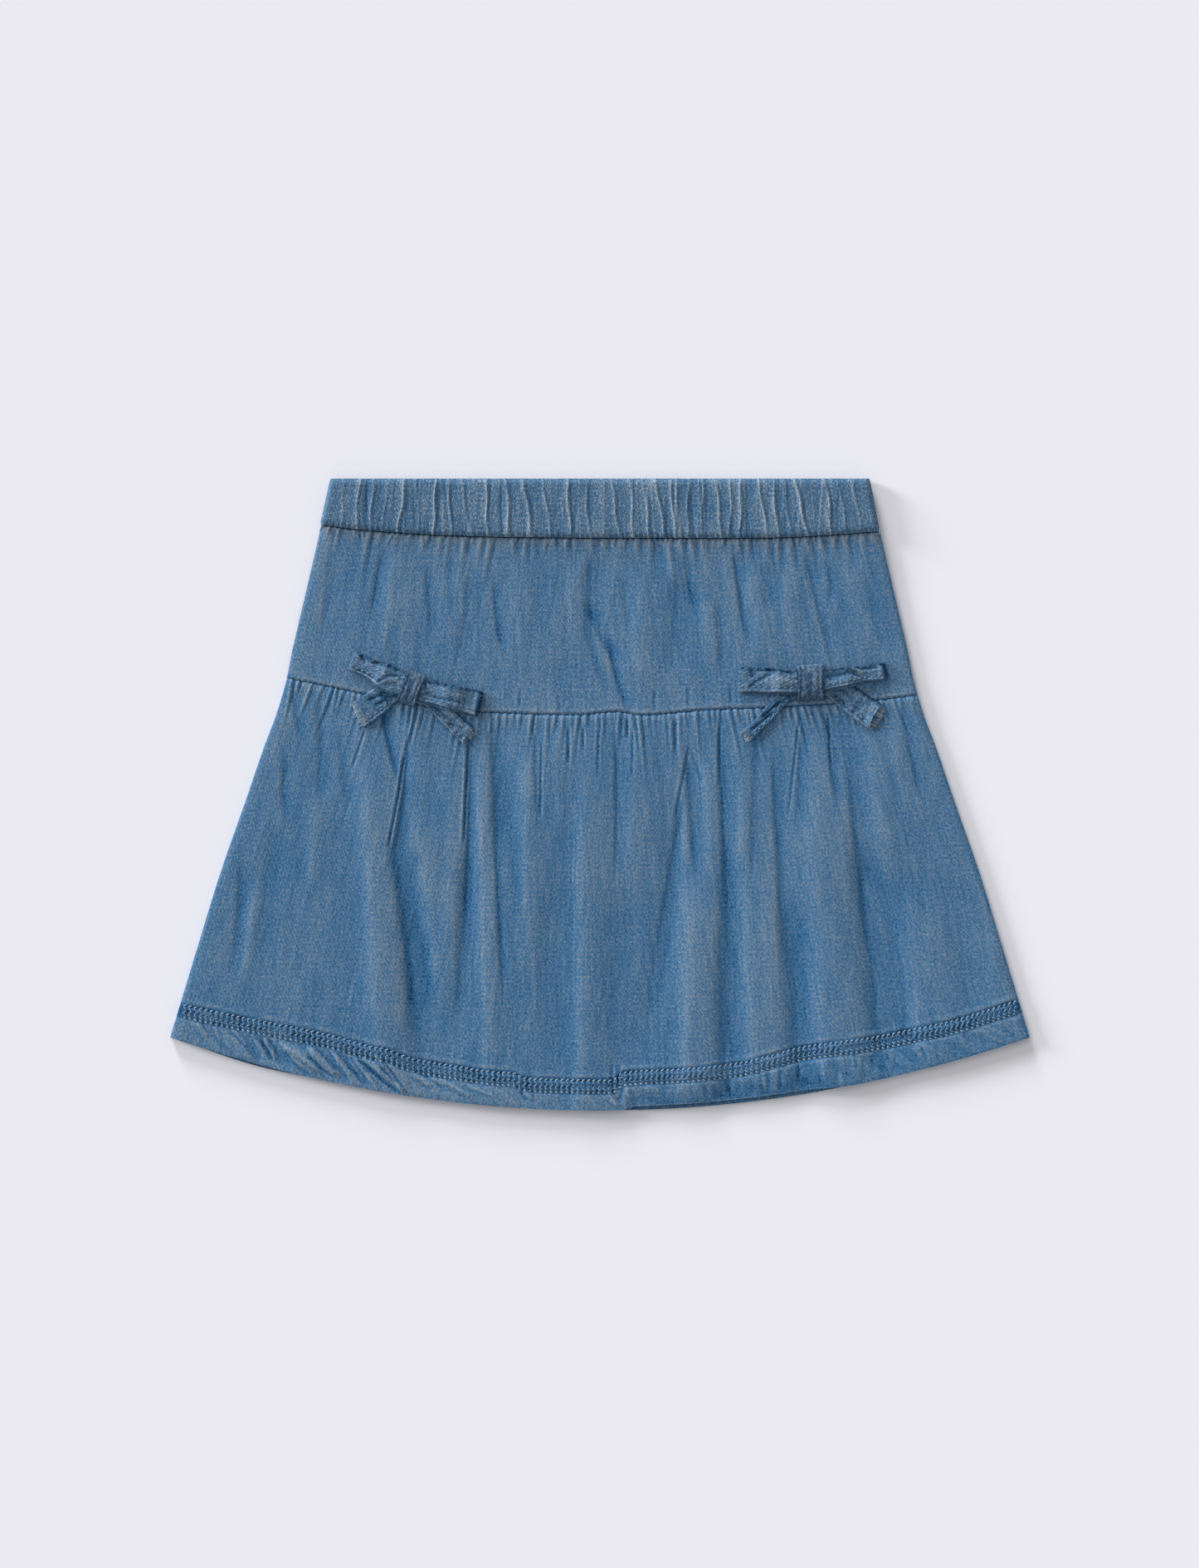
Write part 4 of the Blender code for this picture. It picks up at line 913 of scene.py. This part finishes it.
def hem_threads():
    """Two rows of stitches along the hem, and the crossing threads between them.

    Each row has its drop from the hem's upper row and its threads' lean.
    """
    reach = HEM_CORNER_X - 7
    spans = ((-reach, HEM_PINCH_X - 1.2), (HEM_PINCH_X + 1.2, reach))
    needle_rows = ((0.5, 0.6), (NEEDLE_GAUGE, -0.6))
    cover_rows = ((1.9, -0.8), (3.4, 0.8), (4.9, -0.8))
    for name, rows, lift, size, material in (
        ("hem_threads", needle_rows, THREAD_LIFT, (1.8, 0.95, 0.45), thread),
        ("hem_cover_threads", cover_rows, COVER_LIFT, (2.1, 0.72, 0.34), cover_thread),
    ):
        places = []
        for drop, lean in rows:
            for low, high in spans:
                places += stitch_row(
                    lambda x: hem_stitch(x) - drop, low, high, HEM_PITCH,
                    flounce_outside, lean, lift,
                )
        stitches(name, places, size, material)


def seam_threads():
    """Small stitches in the ditch of the yoke seam."""
    places = stitch_row(
        lambda x: yoke_seam(x) + 0.15, -SEAM_THREADS_X, SEAM_THREADS_X, SEAM_PITCH,
        lambda x, y: yoke_outside(x, y + 0.9) - 0.55,
    )
    stitches("yoke_seam_threads", places, (1.5, 0.45, 0.4), dark_thread)


# Bows. A crease is u_from, v_from, u_to, v_to, width, rise, with u along the strip from the knot
# and v across it from its middle. A mouth is the open end of a tail: how far its lower side
# reaches past its upper side, and how high the upper side stands.
Bow = namedtuple(
    "Bow",
    "name knot knot_width knot_height loops loop_widths loop_swells loop_creases"
    " tails tail_widths tail_creases tail_tones mouths",
)
BOWS = (
    Bow(
        name="bow_left",
        knot=(-89.6, 50.5),
        knot_width=10.2,
        knot_height=16.2,
        loops=((-117.2, 63.4), (-57.2, 43.2)),
        loop_widths=(8.6, 11.6),
        loop_swells=(3.6, 0.4),
        loop_creases=(
            (-15.6, -4.2, -12.6, 0.4, 0.6, -0.5), (-12.6, 0.4, -6.0, 3.6, 0.6, -0.5),
            (-11.0, -3.0, -7.0, -0.5, 0.6, -0.35), (-25.6, -2.9, -18.9, -3.3, 0.6, -0.4),
            (-28.0, 3.4, -25.0, 1.4, 0.6, -0.45), (-22.0, 2.8, -14.0, 4.2, 0.5, -0.4),
            (10.0, -1.9, 24.0, -1.9, 0.6, -0.4), (19.0, -3.3, 28.0, -3.7, 0.8, 0.35),
            (8.0, 1.6, 15.0, 2.0, 1.4, 0.2), (6.0, 3.6, 8.0, -1.5, 0.6, -0.45),
        ),
        tails=((-115.0, 37.8), (-62.0, 27.5)),
        tail_widths=(13.0, 8.5),
        tail_creases=(
            (-20.0, 3.0, -10.0, 0.5, 0.8, -0.5), (-18.0, -1.0, -8.0, -3.0, 0.8, -0.6),
            (-14.0, 2.0, -11.5, -3.0, 0.6, -0.5), (-17.0, 1.8, -14.5, -3.4, 0.6, 0.4),
            (10.0, -1.5, 22.0, -1.0, 0.7, -0.45), (14.0, 1.5, 30.0, 1.8, 0.7, 0.35),
            (26.0, -2.0, 31.0, 1.0, 0.6, -0.4),
        ),
        tail_tones=(-0.2, 0.0),
        mouths=((2.2, 0.7), (0.8, 0.4)),
    ),
    Bow(
        name="bow_right",
        knot=(99.9, 53.2),
        knot_width=14.2,
        knot_height=17.4,
        loops=((66.6, 54.6), (135.4, 58.8)),
        loop_widths=(11.8, 7.6),
        loop_swells=(0.6, 1.0),
        loop_creases=(
            (-24.0, 0.2, -17.0, 3.4, 0.7, -0.5), (-28.5, -3.0, -24.0, 0.2, 0.7, -0.5),
            (-28.0, 1.8, -29.0, 4.6, 0.8, -0.5), (-25.0, 4.2, -14.0, 4.7, 0.6, -0.4),
            (-19.0, -1.0, -11.0, 1.0, 2.0, 0.2), (-21.0, 1.0, -15.0, 3.8, 0.6, 0.3),
            (8.0, 1.0, 22.0, 1.4, 1.2, -0.45), (20.6, 3.4, 25.5, 0.6, 0.5, 0.45),
            (18.0, 2.2, 23.5, -1.2, 0.5, -0.4), (25.0, 2.0, 33.0, 1.8, 0.5, -0.4),
            (9.0, -1.6, 24.0, -2.0, 0.6, 0.2),
        ),
        tails=((69.6, 27.8), (132.3, 36.3)),
        tail_widths=(6.0, 13.0),
        tail_creases=(
            (-36.0, 0.6, -24.0, -1.0, 0.6, -0.6), (-28.0, 1.2, -16.0, -0.4, 0.6, -0.6),
            (-20.0, -1.6, -12.0, 1.2, 0.5, 0.4), (10.0, 2.0, 22.0, 1.0, 0.8, -0.35),
            (12.0, -2.6, 22.0, -3.6, 0.7, -0.4),
        ),
        tail_tones=(-0.7, 0.0),
        mouths=((0.8, 0.5), (2.8, 0.9)),
    ),
)
TAIL_KNOT_WIDTH, LOOP_KNOT_WIDTH = 8.0, 8.6
EDGE_THREAD_PLACE = -0.62
MOUTH_REACH, MOUTH_DEPTH = 8, 4.0
# How far a strip lies above what is under it, how far past its edges that is looked for, how far
# the knot's middle lies above the loops, and how far apart the layers of a loop's end are.
STRIP_GAP, LOOK_PAST, KNOT_GAP, LOOP_END_GAP = 0.1, 0.3, 0.8, 0.65
STRIP_SPANS, LOOP_TURN_SPANS, KNOT_SPANS = 110, 8, 44
# The relief that counts as fully worn, with painted light on crests and painted shade in creases.
STRIP_WEAR_SHADING_RELIEF, KNOT_WEAR_SHADING_RELIEF = 0.32, 0.25
# Places across a strip's face, from edge to edge, and back across its underside.
ACROSS = np.linspace(-1, 1, 25)
UNDER = np.linspace(0.9, -0.9, 7)


def tree_of(obj):
    bm = bmesh.new()
    bm.from_mesh(obj.data)
    tree = BVHTree.FromBMesh(bm)
    bm.free()
    return tree


def ground_under(trees, point, side, half, spread):
    """The highest thing under a strip's section, looked for a little past its edges."""
    heights = []
    for step in range(-4, 5):
        across = side * ((half + LOOK_PAST) * step / 4)
        for along in (-spread, 0, spread):
            lengthwise = Vector((-side.y, side.x, 0)) * along
            start = (point + across + lengthwise) * MM
            for tree in trees:
                hit = tree.ray_cast(Vector((start.x, start.y, 1.0)), -UP)[0]
                if hit is not None:
                    heights.append(hit.z / MM)
    return max(heights)


def smoothed(values, combine, reach):
    """Each value combined with its neighbours."""
    return [combine(values[max(k - reach, 0):k + reach + 1]) for k in range(len(values))]


def mean(values):
    return sum(values) / len(values)


class Strip:
    """The plan of a bow's strip: from one end, straight through the knot, to the other end."""

    def __init__(self, ends, knot, widths, knot_width, swells=(0.0, 0.0)):
        self.ends = [Vector((*end, 0)) for end in ends]
        self.knot = Vector((*knot, 0))
        self.through = (self.ends[1] - self.ends[0]) / 2
        self.widths = widths
        self.knot_width = knot_width
        self.swells = swells

    def at(self, t):
        """The point, onward, side and width at a place, from -1 at one end to 1 at the other."""
        sign = -1 if t < 0 else 1
        reach = self.ends[max(sign, 0)] - self.knot
        start = self.through * sign
        s = abs(t)
        point = self.knot + reach * (s * s * (2 - s)) + start * (s * (1 - s) ** 2)
        speed = reach * (s * (4 - 3 * s)) + start * ((1 - s) * (1 - 3 * s))
        onward = (speed * sign).normalized()
        width = self.knot_width
        width += (self.widths[max(sign, 0)] - width) * float(smooth_step(s / 0.75))
        width += self.swells[max(sign, 0)] * math.exp(-((s - 0.38) / 0.24) ** 2)
        width += 0.25 * math.sin(17 * t + self.knot.x)
        return point, onward, Vector((-onward.y, onward.x, 0)), width

    def stations(self, trees):
        """Rows of place, point, onward, side, width and the height that the strip lies at."""
        rows = []
        for k in range(STRIP_SPANS + 1):
            t = 2 * k / STRIP_SPANS - 1
            point, onward, side, width = self.at(t)
            ground = ground_under(trees, point, side, width / 2, 0.6)
            rows.append((t, point, onward, side, width, ground))
        highest = smoothed([entry[-1] for entry in rows], max, 2)
        level = smoothed(highest, mean, 3)
        return [(*entry[:-1], height + STRIP_GAP) for entry, height in zip(rows, level)]


def strip_relief(rows, creases, seed):
    """A strip's face: beads along its edges, a sunk row of stitches, creases and crumples.

    Gives the relief, and how far along the strip from the knot each place is.
    """
    lengths = [(b[0] - a[0]).length for a, b in zip(rows, rows[1:])]
    u = np.concatenate([[0.0], np.cumsum(lengths)])
    u = (u - u[len(u) // 2])[:, None] + 0 * ACROSS
    width = np.array([row[4] for row in rows])[:, None]
    v = ACROSS * width / 2
    a = 2 * v / width
    relief = 0.26 * bell((np.abs(a) - 0.90) / 0.07)
    relief -= 0.28 * bell((a - EDGE_THREAD_PLACE) / 0.09) * (0.75 + 0.25 * np.cos(2.4 * u))
    relief += 0.40 * peak(u / 6.5) * np.cos(3.1 * math.pi * a + 1.3 * np.sin(0.5 * u))
    relief += 0.22 * noise(u / 3.3, v / 4.5, seed) + 0.14 * noise(u / 1.3, v / 1.5, seed + 1)
    for *ends, crease_width, rise in creases:
        relief += rise * bell(from_line(u, v, *ends)[1] / crease_width)
    return relief, u


def opened(points, grain, middle, normal, onward, travelled, end, mouth):
    """Shape a strip's open end, and give the points, tones and weave of its inside: a pale rim,
    with painted shade deeper in.
    """
    slant, lift = mouth
    outward = onward if end else -onward
    ramp = np.square(np.clip(1 - np.abs(travelled[end] - travelled) / MOUTH_REACH, 0, 1))
    ramp = ramp[:, None, None]
    arch, tongue = ((1 - np.square(side))[None, :, None] for side in (ACROSS, UNDER))
    upper = points[:, :len(ACROSS)]
    upper += normal * (lift * ramp * arch) - outward * (slant * ramp * arch ** 0.4)
    points[:, len(ACROSS):] += outward * (0.45 * slant * ramp * tongue)
    ring, centre = points[end], middle[end]
    is_upper = np.arange(len(ring)) < len(ACROSS)
    inner = centre + (ring - centre) * 0.90
    inner[:, 2] = ring[:, 2] + np.where(is_upper, -0.35, 0.35)
    deep = inner - outward[end] * MOUTH_DEPTH
    deep[:, 2] = centre[0, 2] + 0.3 * np.sign(inner[:, 2] - centre[0, 2])
    # A pale rim at the lip, and painted shade deeper inside the open end.
    tones = np.stack([np.full(len(ring), 1.6), np.where(is_upper, -1.2, -0.8)])
    return np.stack([inner, deep]), tones, np.repeat(grain[end][None], 2, axis=0)


def ribbon(name, rows, thickness, relief, tone, mouths=None, closed=False, material=None):
    """A strip of cloth: rows of middle, side, normal, onward and width, with relief on its face.

    Gives the piece, its points and its length in metres.
    """
    middle, side, normal, onward = (
        np.array([tuple(row[k]) for row in rows])[:, None, :] for k in range(4)
    )
    half = np.array([row[4] for row in rows])[:, None, None] / 2
    dome = np.sqrt(1 - np.abs(ACROSS) ** 6)[None, :, None]
    face = thickness / 2 * dome + relief[:, :, None] * dome ** 0.5
    top = middle + side * (ACROSS[None, :, None] * half) + normal * face
    under = middle + side * (UNDER[None, :, None] * half) - normal * (thickness / 2)
    points = np.concatenate([top, under], axis=1)
    # The strip's underside is darker: painted shade.
    tones = np.concatenate([tone, np.full((len(rows), len(UNDER)), -0.5)], axis=1)
    steps = np.linalg.norm(np.diff(middle[:, 0], axis=0), axis=1)
    travelled = np.concatenate([[0.0], np.cumsum(steps)])
    across = np.concatenate([ACROSS * 5, UNDER * 5])[None, :]
    grain = np.stack([across + 0 * tones, travelled[:, None] + 0 * tones, 0 * tones], axis=-1)
    if mouths:
        linings = [
            opened(points, grain, middle, normal, onward, travelled, end, mouth)
            for end, mouth in zip((0, -1), mouths)
        ]
        points, tones, grain = (
            np.concatenate([before[::-1], body, after])
            for before, body, after in zip(linings[0], (points, tones, grain), linings[1])
        )
    faces = ring_faces(*points.shape[:2], closed)
    looks = {"grain": grain.reshape(-1, 3), "wear_and_shading": tones.ravel()}
    piece = mesh_object(name, points.reshape(-1, 3), faces, material or bow_denim, looks, 80)
    outward_closed(piece)
    return piece, points, round(float(travelled[-1]) * MM, 4)


def edge_threads(name, face, places, nearest):
    """A row of stitches beside an edge of a strip's face, from some way off the knot."""
    column = int(round((EDGE_THREAD_PLACE + 1) / 2 * (len(ACROSS) - 1)))
    line = face[:, column]
    found = []
    due, travelled = 0.0, 0.0
    for k in range(1, len(line) - 1):
        travelled += float(np.linalg.norm(line[k] - line[k - 1]))
        if travelled < due or abs(places[k]) < nearest:
            continue
        due = travelled + SEAM_PITCH
        onward = Vector(line[k + 1] - line[k - 1]).normalized()
        up = (UP - onward * onward.z).normalized()
        found.append((Vector(line[k]) + UP * THREAD_LIFT, onward, up))
    stitches(name, found, (1.5, 0.55, 0.4), thread)


def bow_tails(bow, trees):
    stations = Strip(bow.tails, bow.knot, bow.tail_widths, TAIL_KNOT_WIDTH).stations(trees)
    rows = [
        (point + UP * (height + STRIP_CLOTH / 2), side, UP, onward, width)
        for _, point, onward, side, width, height in stations
    ]
    t = np.array([entry[0] for entry in stations])[:, None]
    relief, _ = strip_relief(rows, bow.tail_creases, 61)
    far = smooth_step((np.abs(t) - 0.25) / 0.15)
    tone = relief / STRIP_WEAR_SHADING_RELIEF + np.where(t < 0, *bow.tail_tones)
    # Painted shade along the upper edge of the second tail and the lower edge of the first, away
    # from the knot.
    tone -= 3.8 * bell((ACROSS - 1.0) / 0.18) * far * (t > 0)
    tone -= 2.2 * bell((ACROSS + 1.0) / 0.12) * far * (t < 0)
    tone += 0.9 * smooth_step((np.abs(t) - 0.955) / 0.03)
    name = bow.name + "_tails_cloth"
    piece, points, length = ribbon(name, rows, STRIP_CLOTH, relief, tone, bow.mouths)
    sewn(piece, (bow.name + "_tails",))
    edge_threads(bow.name + "_tail_threads", points[2:-2], t[:, 0], 0.35)
    frayed_ends(bow, rows)
    return piece


def frayed_ends(bow, rows):
    """Loose threads at the tails' cut ends."""
    rng = np.random.default_rng(71)
    places = []
    for (middle, side, _, onward, width), sign, count in ((rows[0], -1, 9), (rows[-1], 1, 4)):
        for _ in range(count):
            place = rng.uniform(-0.46, 0.46) * width
            turn = rng.uniform(-0.6, 0.6)
            direction = (onward * sign * math.cos(turn) + side * math.sin(turn)).normalized()
            point = middle + side * place + direction * rng.uniform(0.2, 0.8) - UP * 0.1
            places.append((point, direction, UP))
    stitches(bow.name + "_frayed_threads", places, (2.2, 0.34, 0.3), pale_thread)


def bow_loops(bow, trees):
    """Both loops as one ring of cloth: a lower layer, an upper one, and a turn at each end."""
    strip = Strip(bow.loops, bow.knot, bow.loop_widths, LOOP_KNOT_WIDTH, bow.loop_swells)
    stations = strip.stations(trees)
    lower, upper = [], []
    for t, point, onward, side, width, height in stations:
        s = abs(t)
        bulge = math.sin(math.pi * s)
        gap = 0.15 + 0.5 * s + 0.6 * math.sin(math.pi * float(smooth_step(s))) ** 2
        low = point + UP * (height + CLOTH / 2) - side * (0.5 * bulge)
        high = low + UP * (CLOTH + gap) + side * (1.2 * bulge)
        lower.append((low, side, -UP, onward, width))
        upper.append((high, side, UP, onward, width - 0.4 * bulge))
    turns = []
    radius = (CLOTH + LOOP_END_GAP) / 2
    for t, point, onward, side, width, height in (stations[-1], stations[0]):
        centre = point + UP * (height + CLOTH / 2 + radius)
        turn = []
        for k in range(1, LOOP_TURN_SPANS):
            angle = math.pi * k / LOOP_TURN_SPANS
            outward = onward * t * math.sin(angle) - UP * math.cos(angle)
            turn.append((centre + outward * radius, side, outward, onward, width))
        turns.append(turn)
    rows = lower + turns[0] + upper[::-1] + turns[1][::-1]
    t = np.array([entry[0] for entry in stations])[:, None]
    relief, u = strip_relief(upper, bow.loop_creases, 65)
    relief *= smooth_step((1.02 - np.abs(t)) / 0.06)
    far = smooth_step((np.abs(t) - 0.16) / 0.1)
    # Painted shade along the loops' upper edges, away from the knot.
    shaded = (3.4 + 1.2 * np.sin(1.7 * u)) * bell((ACROSS - 1.0) / 0.19) * far
    tone = relief / STRIP_WEAR_SHADING_RELIEF - shaded
    # A paler line along the lower edge, and painted shade over the second loop's end.
    tone += 0.7 * bell((ACROSS + 0.93) / 0.06) * far - 3.4 * smooth_step((t - 0.955) / 0.02)
    # Painted highlights on the upper layer just before both loop ends.
    tone += 1.0 * bell((t - 0.925) / 0.02) + 0.9 * bell((t + 0.97) / 0.025)
    still = np.zeros((len(turns[0]), len(ACROSS)))
    name = bow.name + "_loops_cloth"
    reliefs = np.concatenate([0 * relief, still, relief[::-1], still])
    # The lower layer and the turns are darker: painted shade, deepest in the turn at the second
    # loop's end.
    tones = np.concatenate([0 * tone - 1.2, still - 2.4, tone[::-1], still - 0.6])
    piece, points, length = ribbon(name, rows, CLOTH, reliefs, tones, closed=True)
    sewn(piece, (bow.name + "_loops",))
    first = len(lower) + len(turns[0])
    face = points[first:first + len(upper)][::-1]
    edge_threads(bow.name + "_loop_threads", face, t[:, 0], 0.2)
    return piece


def bow_knot(bow, trees, over):
    """The strip round the bow's middle: it rises from the skirt, over the loops and down again."""
    along = (Vector((*bow.loops[1], 0)) - Vector((*bow.loops[0], 0))).normalized()
    up_skirt = Vector((-along.y, along.x, 0))
    knot = Vector((*bow.knot, 0))
    reach = (bow.knot_height - STRIP_CLOTH) / 2
    half = bow.knot_width / 2
    top = ground_under([over], knot, up_skirt, 4.5, half) + KNOT_GAP
    foot_lift = STRIP_GAP + STRIP_CLOTH / 2
    feet = [
        ground_under(trees, knot + up_skirt * side * reach, along, half, 1.2) + foot_lift
        for side in (-1, 1)
    ]
    turn = math.pi * np.arange(KNOT_SPANS + 1) / KNOT_SPANS
    rows = []
    for angle in turn.tolist():
        share = -math.cos(angle)
        foot = feet[0] if share < 0 else feet[1]
        middle = knot + up_skirt * (share * reach)
        middle.z = foot + (top - foot) * math.sin(angle) ** 0.55
        lean = math.radians(90) * share * abs(share) ** 1.5
        normal = up_skirt * math.sin(lean) + UP * math.cos(lean)
        onward = up_skirt * math.cos(lean) - UP * math.sin(lean)
        width = bow.knot_width * (1 - 0.12 * math.sin(angle)) + 0.3 * math.sin(3 * angle)
        rows.append((middle, -along, normal, onward, width))
    turn = turn[:, None]
    a = 0.06 * np.sin(2 * turn) - ACROSS[None, :]
    grooves = bell((a + 0.70) / 0.08) + 0.9 * bell((a - 0.62) / 0.08)
    grooves += 0.15 * bell((a - 0.05) / 0.07)
    crests = bell((a + 0.86) / 0.08) + 0.5 * bell((a - 0.80) / 0.10) + 0.2 * bell((a + 0.30) / 0.3)
    crumple = 0.25 * noise(turn * 2.6, a * 2.2, 81) + 0.15 * noise(turn * 6, a * 5, 82)
    relief = np.sin(turn) ** 0.5 * (0.22 * crests - 0.32 * grooves + crumple)
    # Painted shade near both feet of the knot and along both its edges.
    tone = relief / KNOT_WEAR_SHADING_RELIEF - 0.2 - 1.0 * (1 - smooth_step(np.sin(turn) / 0.35))
    tone -= 2.6 * bell((np.abs(a) - 1.0) / 0.11)
    name = bow.name + "_knot_cloth"
    piece, _, length = ribbon(name, rows, STRIP_CLOTH, relief, tone, material=knot_denim)
    sewn(piece, (bow.name + "_knot",))


# The studio. A lamp is its name, where its light goes, how high it stands and how wide it is, all
# three in degrees, and its strength.
LAMPS = (
    ("left_lamp", -24, 13, 15, 3.35),
    ("top_lamp", -68, 13, 15, 3.10),
    ("high_lamp", -45, 50, 30, 0.25),
)
WORLD_STRENGTH = 0.46
PAPER = (0.843, 0.840, 0.890, 1)
FLOOR_CORNERS = ((-1, -1), (1, -1), (1, 1), (-1, 1))
FLOOR_HALF = 12000.0
FLOOR_DROP = 0.05
# The photograph's frame: its height, the middle of what it shows, and a camera's lens and sensor.
VIEW_HEIGHT, VIEW_X, VIEW_Y = 746.2, -0.2, 5.1
LENS, SENSOR = 85.0, 36.0


def studio():
    """A pale floor, soft light from the upper left, and a camera straight above."""
    looks = {"Base Color": PAPER, "Roughness": 1.0, "Specular IOR Level": 0.0}
    corners = [(x * FLOOR_HALF, y * FLOOR_HALF, -FLOOR_DROP) for x, y in FLOOR_CORNERS]
    floor = mesh_object("floor", corners, [(0, 1, 2, 3)], new_material("paper", looks)[0])

    world = bpy.data.worlds.new("studio")
    world.use_nodes = True
    background = world.node_tree.nodes["Background"]
    background.inputs["Color"].default_value = (1, 1, 1, 1)
    background.inputs["Strength"].default_value = WORLD_STRENGTH
    bpy.context.scene.world = world

    for name, bearing, height, width, strength in LAMPS:
        lamp = bpy.data.lights.new(name, "SUN")
        lamp.energy = strength
        lamp.angle = math.radians(width)
        turn = math.radians(bearing)
        away = Vector((math.cos(turn), math.sin(turn), -math.tan(math.radians(height))))
        linked(name, lamp).rotation_euler = away.to_track_quat("-Z", "Y").to_euler()

    camera = bpy.data.cameras.new("camera")
    camera.lens = LENS
    camera.sensor_fit = "VERTICAL"
    camera.sensor_height = SENSOR
    camera_object = linked("camera", camera)
    distance = VIEW_HEIGHT * LENS / SENSOR
    camera_object.location = (VIEW_X * MM, VIEW_Y * MM, distance * MM)
    bpy.context.scene.camera = camera_object
    bpy.context.scene.view_settings.view_transform = "Standard"


studio()
yoke = yoke_front()
flounce = flounce_front()
back_panel(
    "yoke_back_cloth", "yoke_back", YOKE_FOLDS, 70, waist_seam,
    lambda x: waist_seam(-x) - SEAM_HALF_GAP, lambda x: yoke_seam(-x) + SEAM_HALF_GAP,
    0.0, YOKE_BACK_SPANS,
)
back_panel(
    "flounce_back_cloth", "flounce_back", FLOUNCE_FOLDS, 66, yoke_seam,
    lambda x: yoke_seam(-x) - SEAM_HALF_GAP, lambda x: back_hem_edge(-x),
    0.45, FLOUNCE_BACK_SPANS,
)
waistband()
hem_threads()
seam_threads()
front_trees = [tree_of(yoke), tree_of(flounce)]
for bow in BOWS:
    tails = bow_tails(bow, front_trees)
    loops = bow_loops(bow, front_trees + [tree_of(tails)])
    bow_knot(bow, front_trees + [tree_of(tails), tree_of(loops)], tree_of(loops))
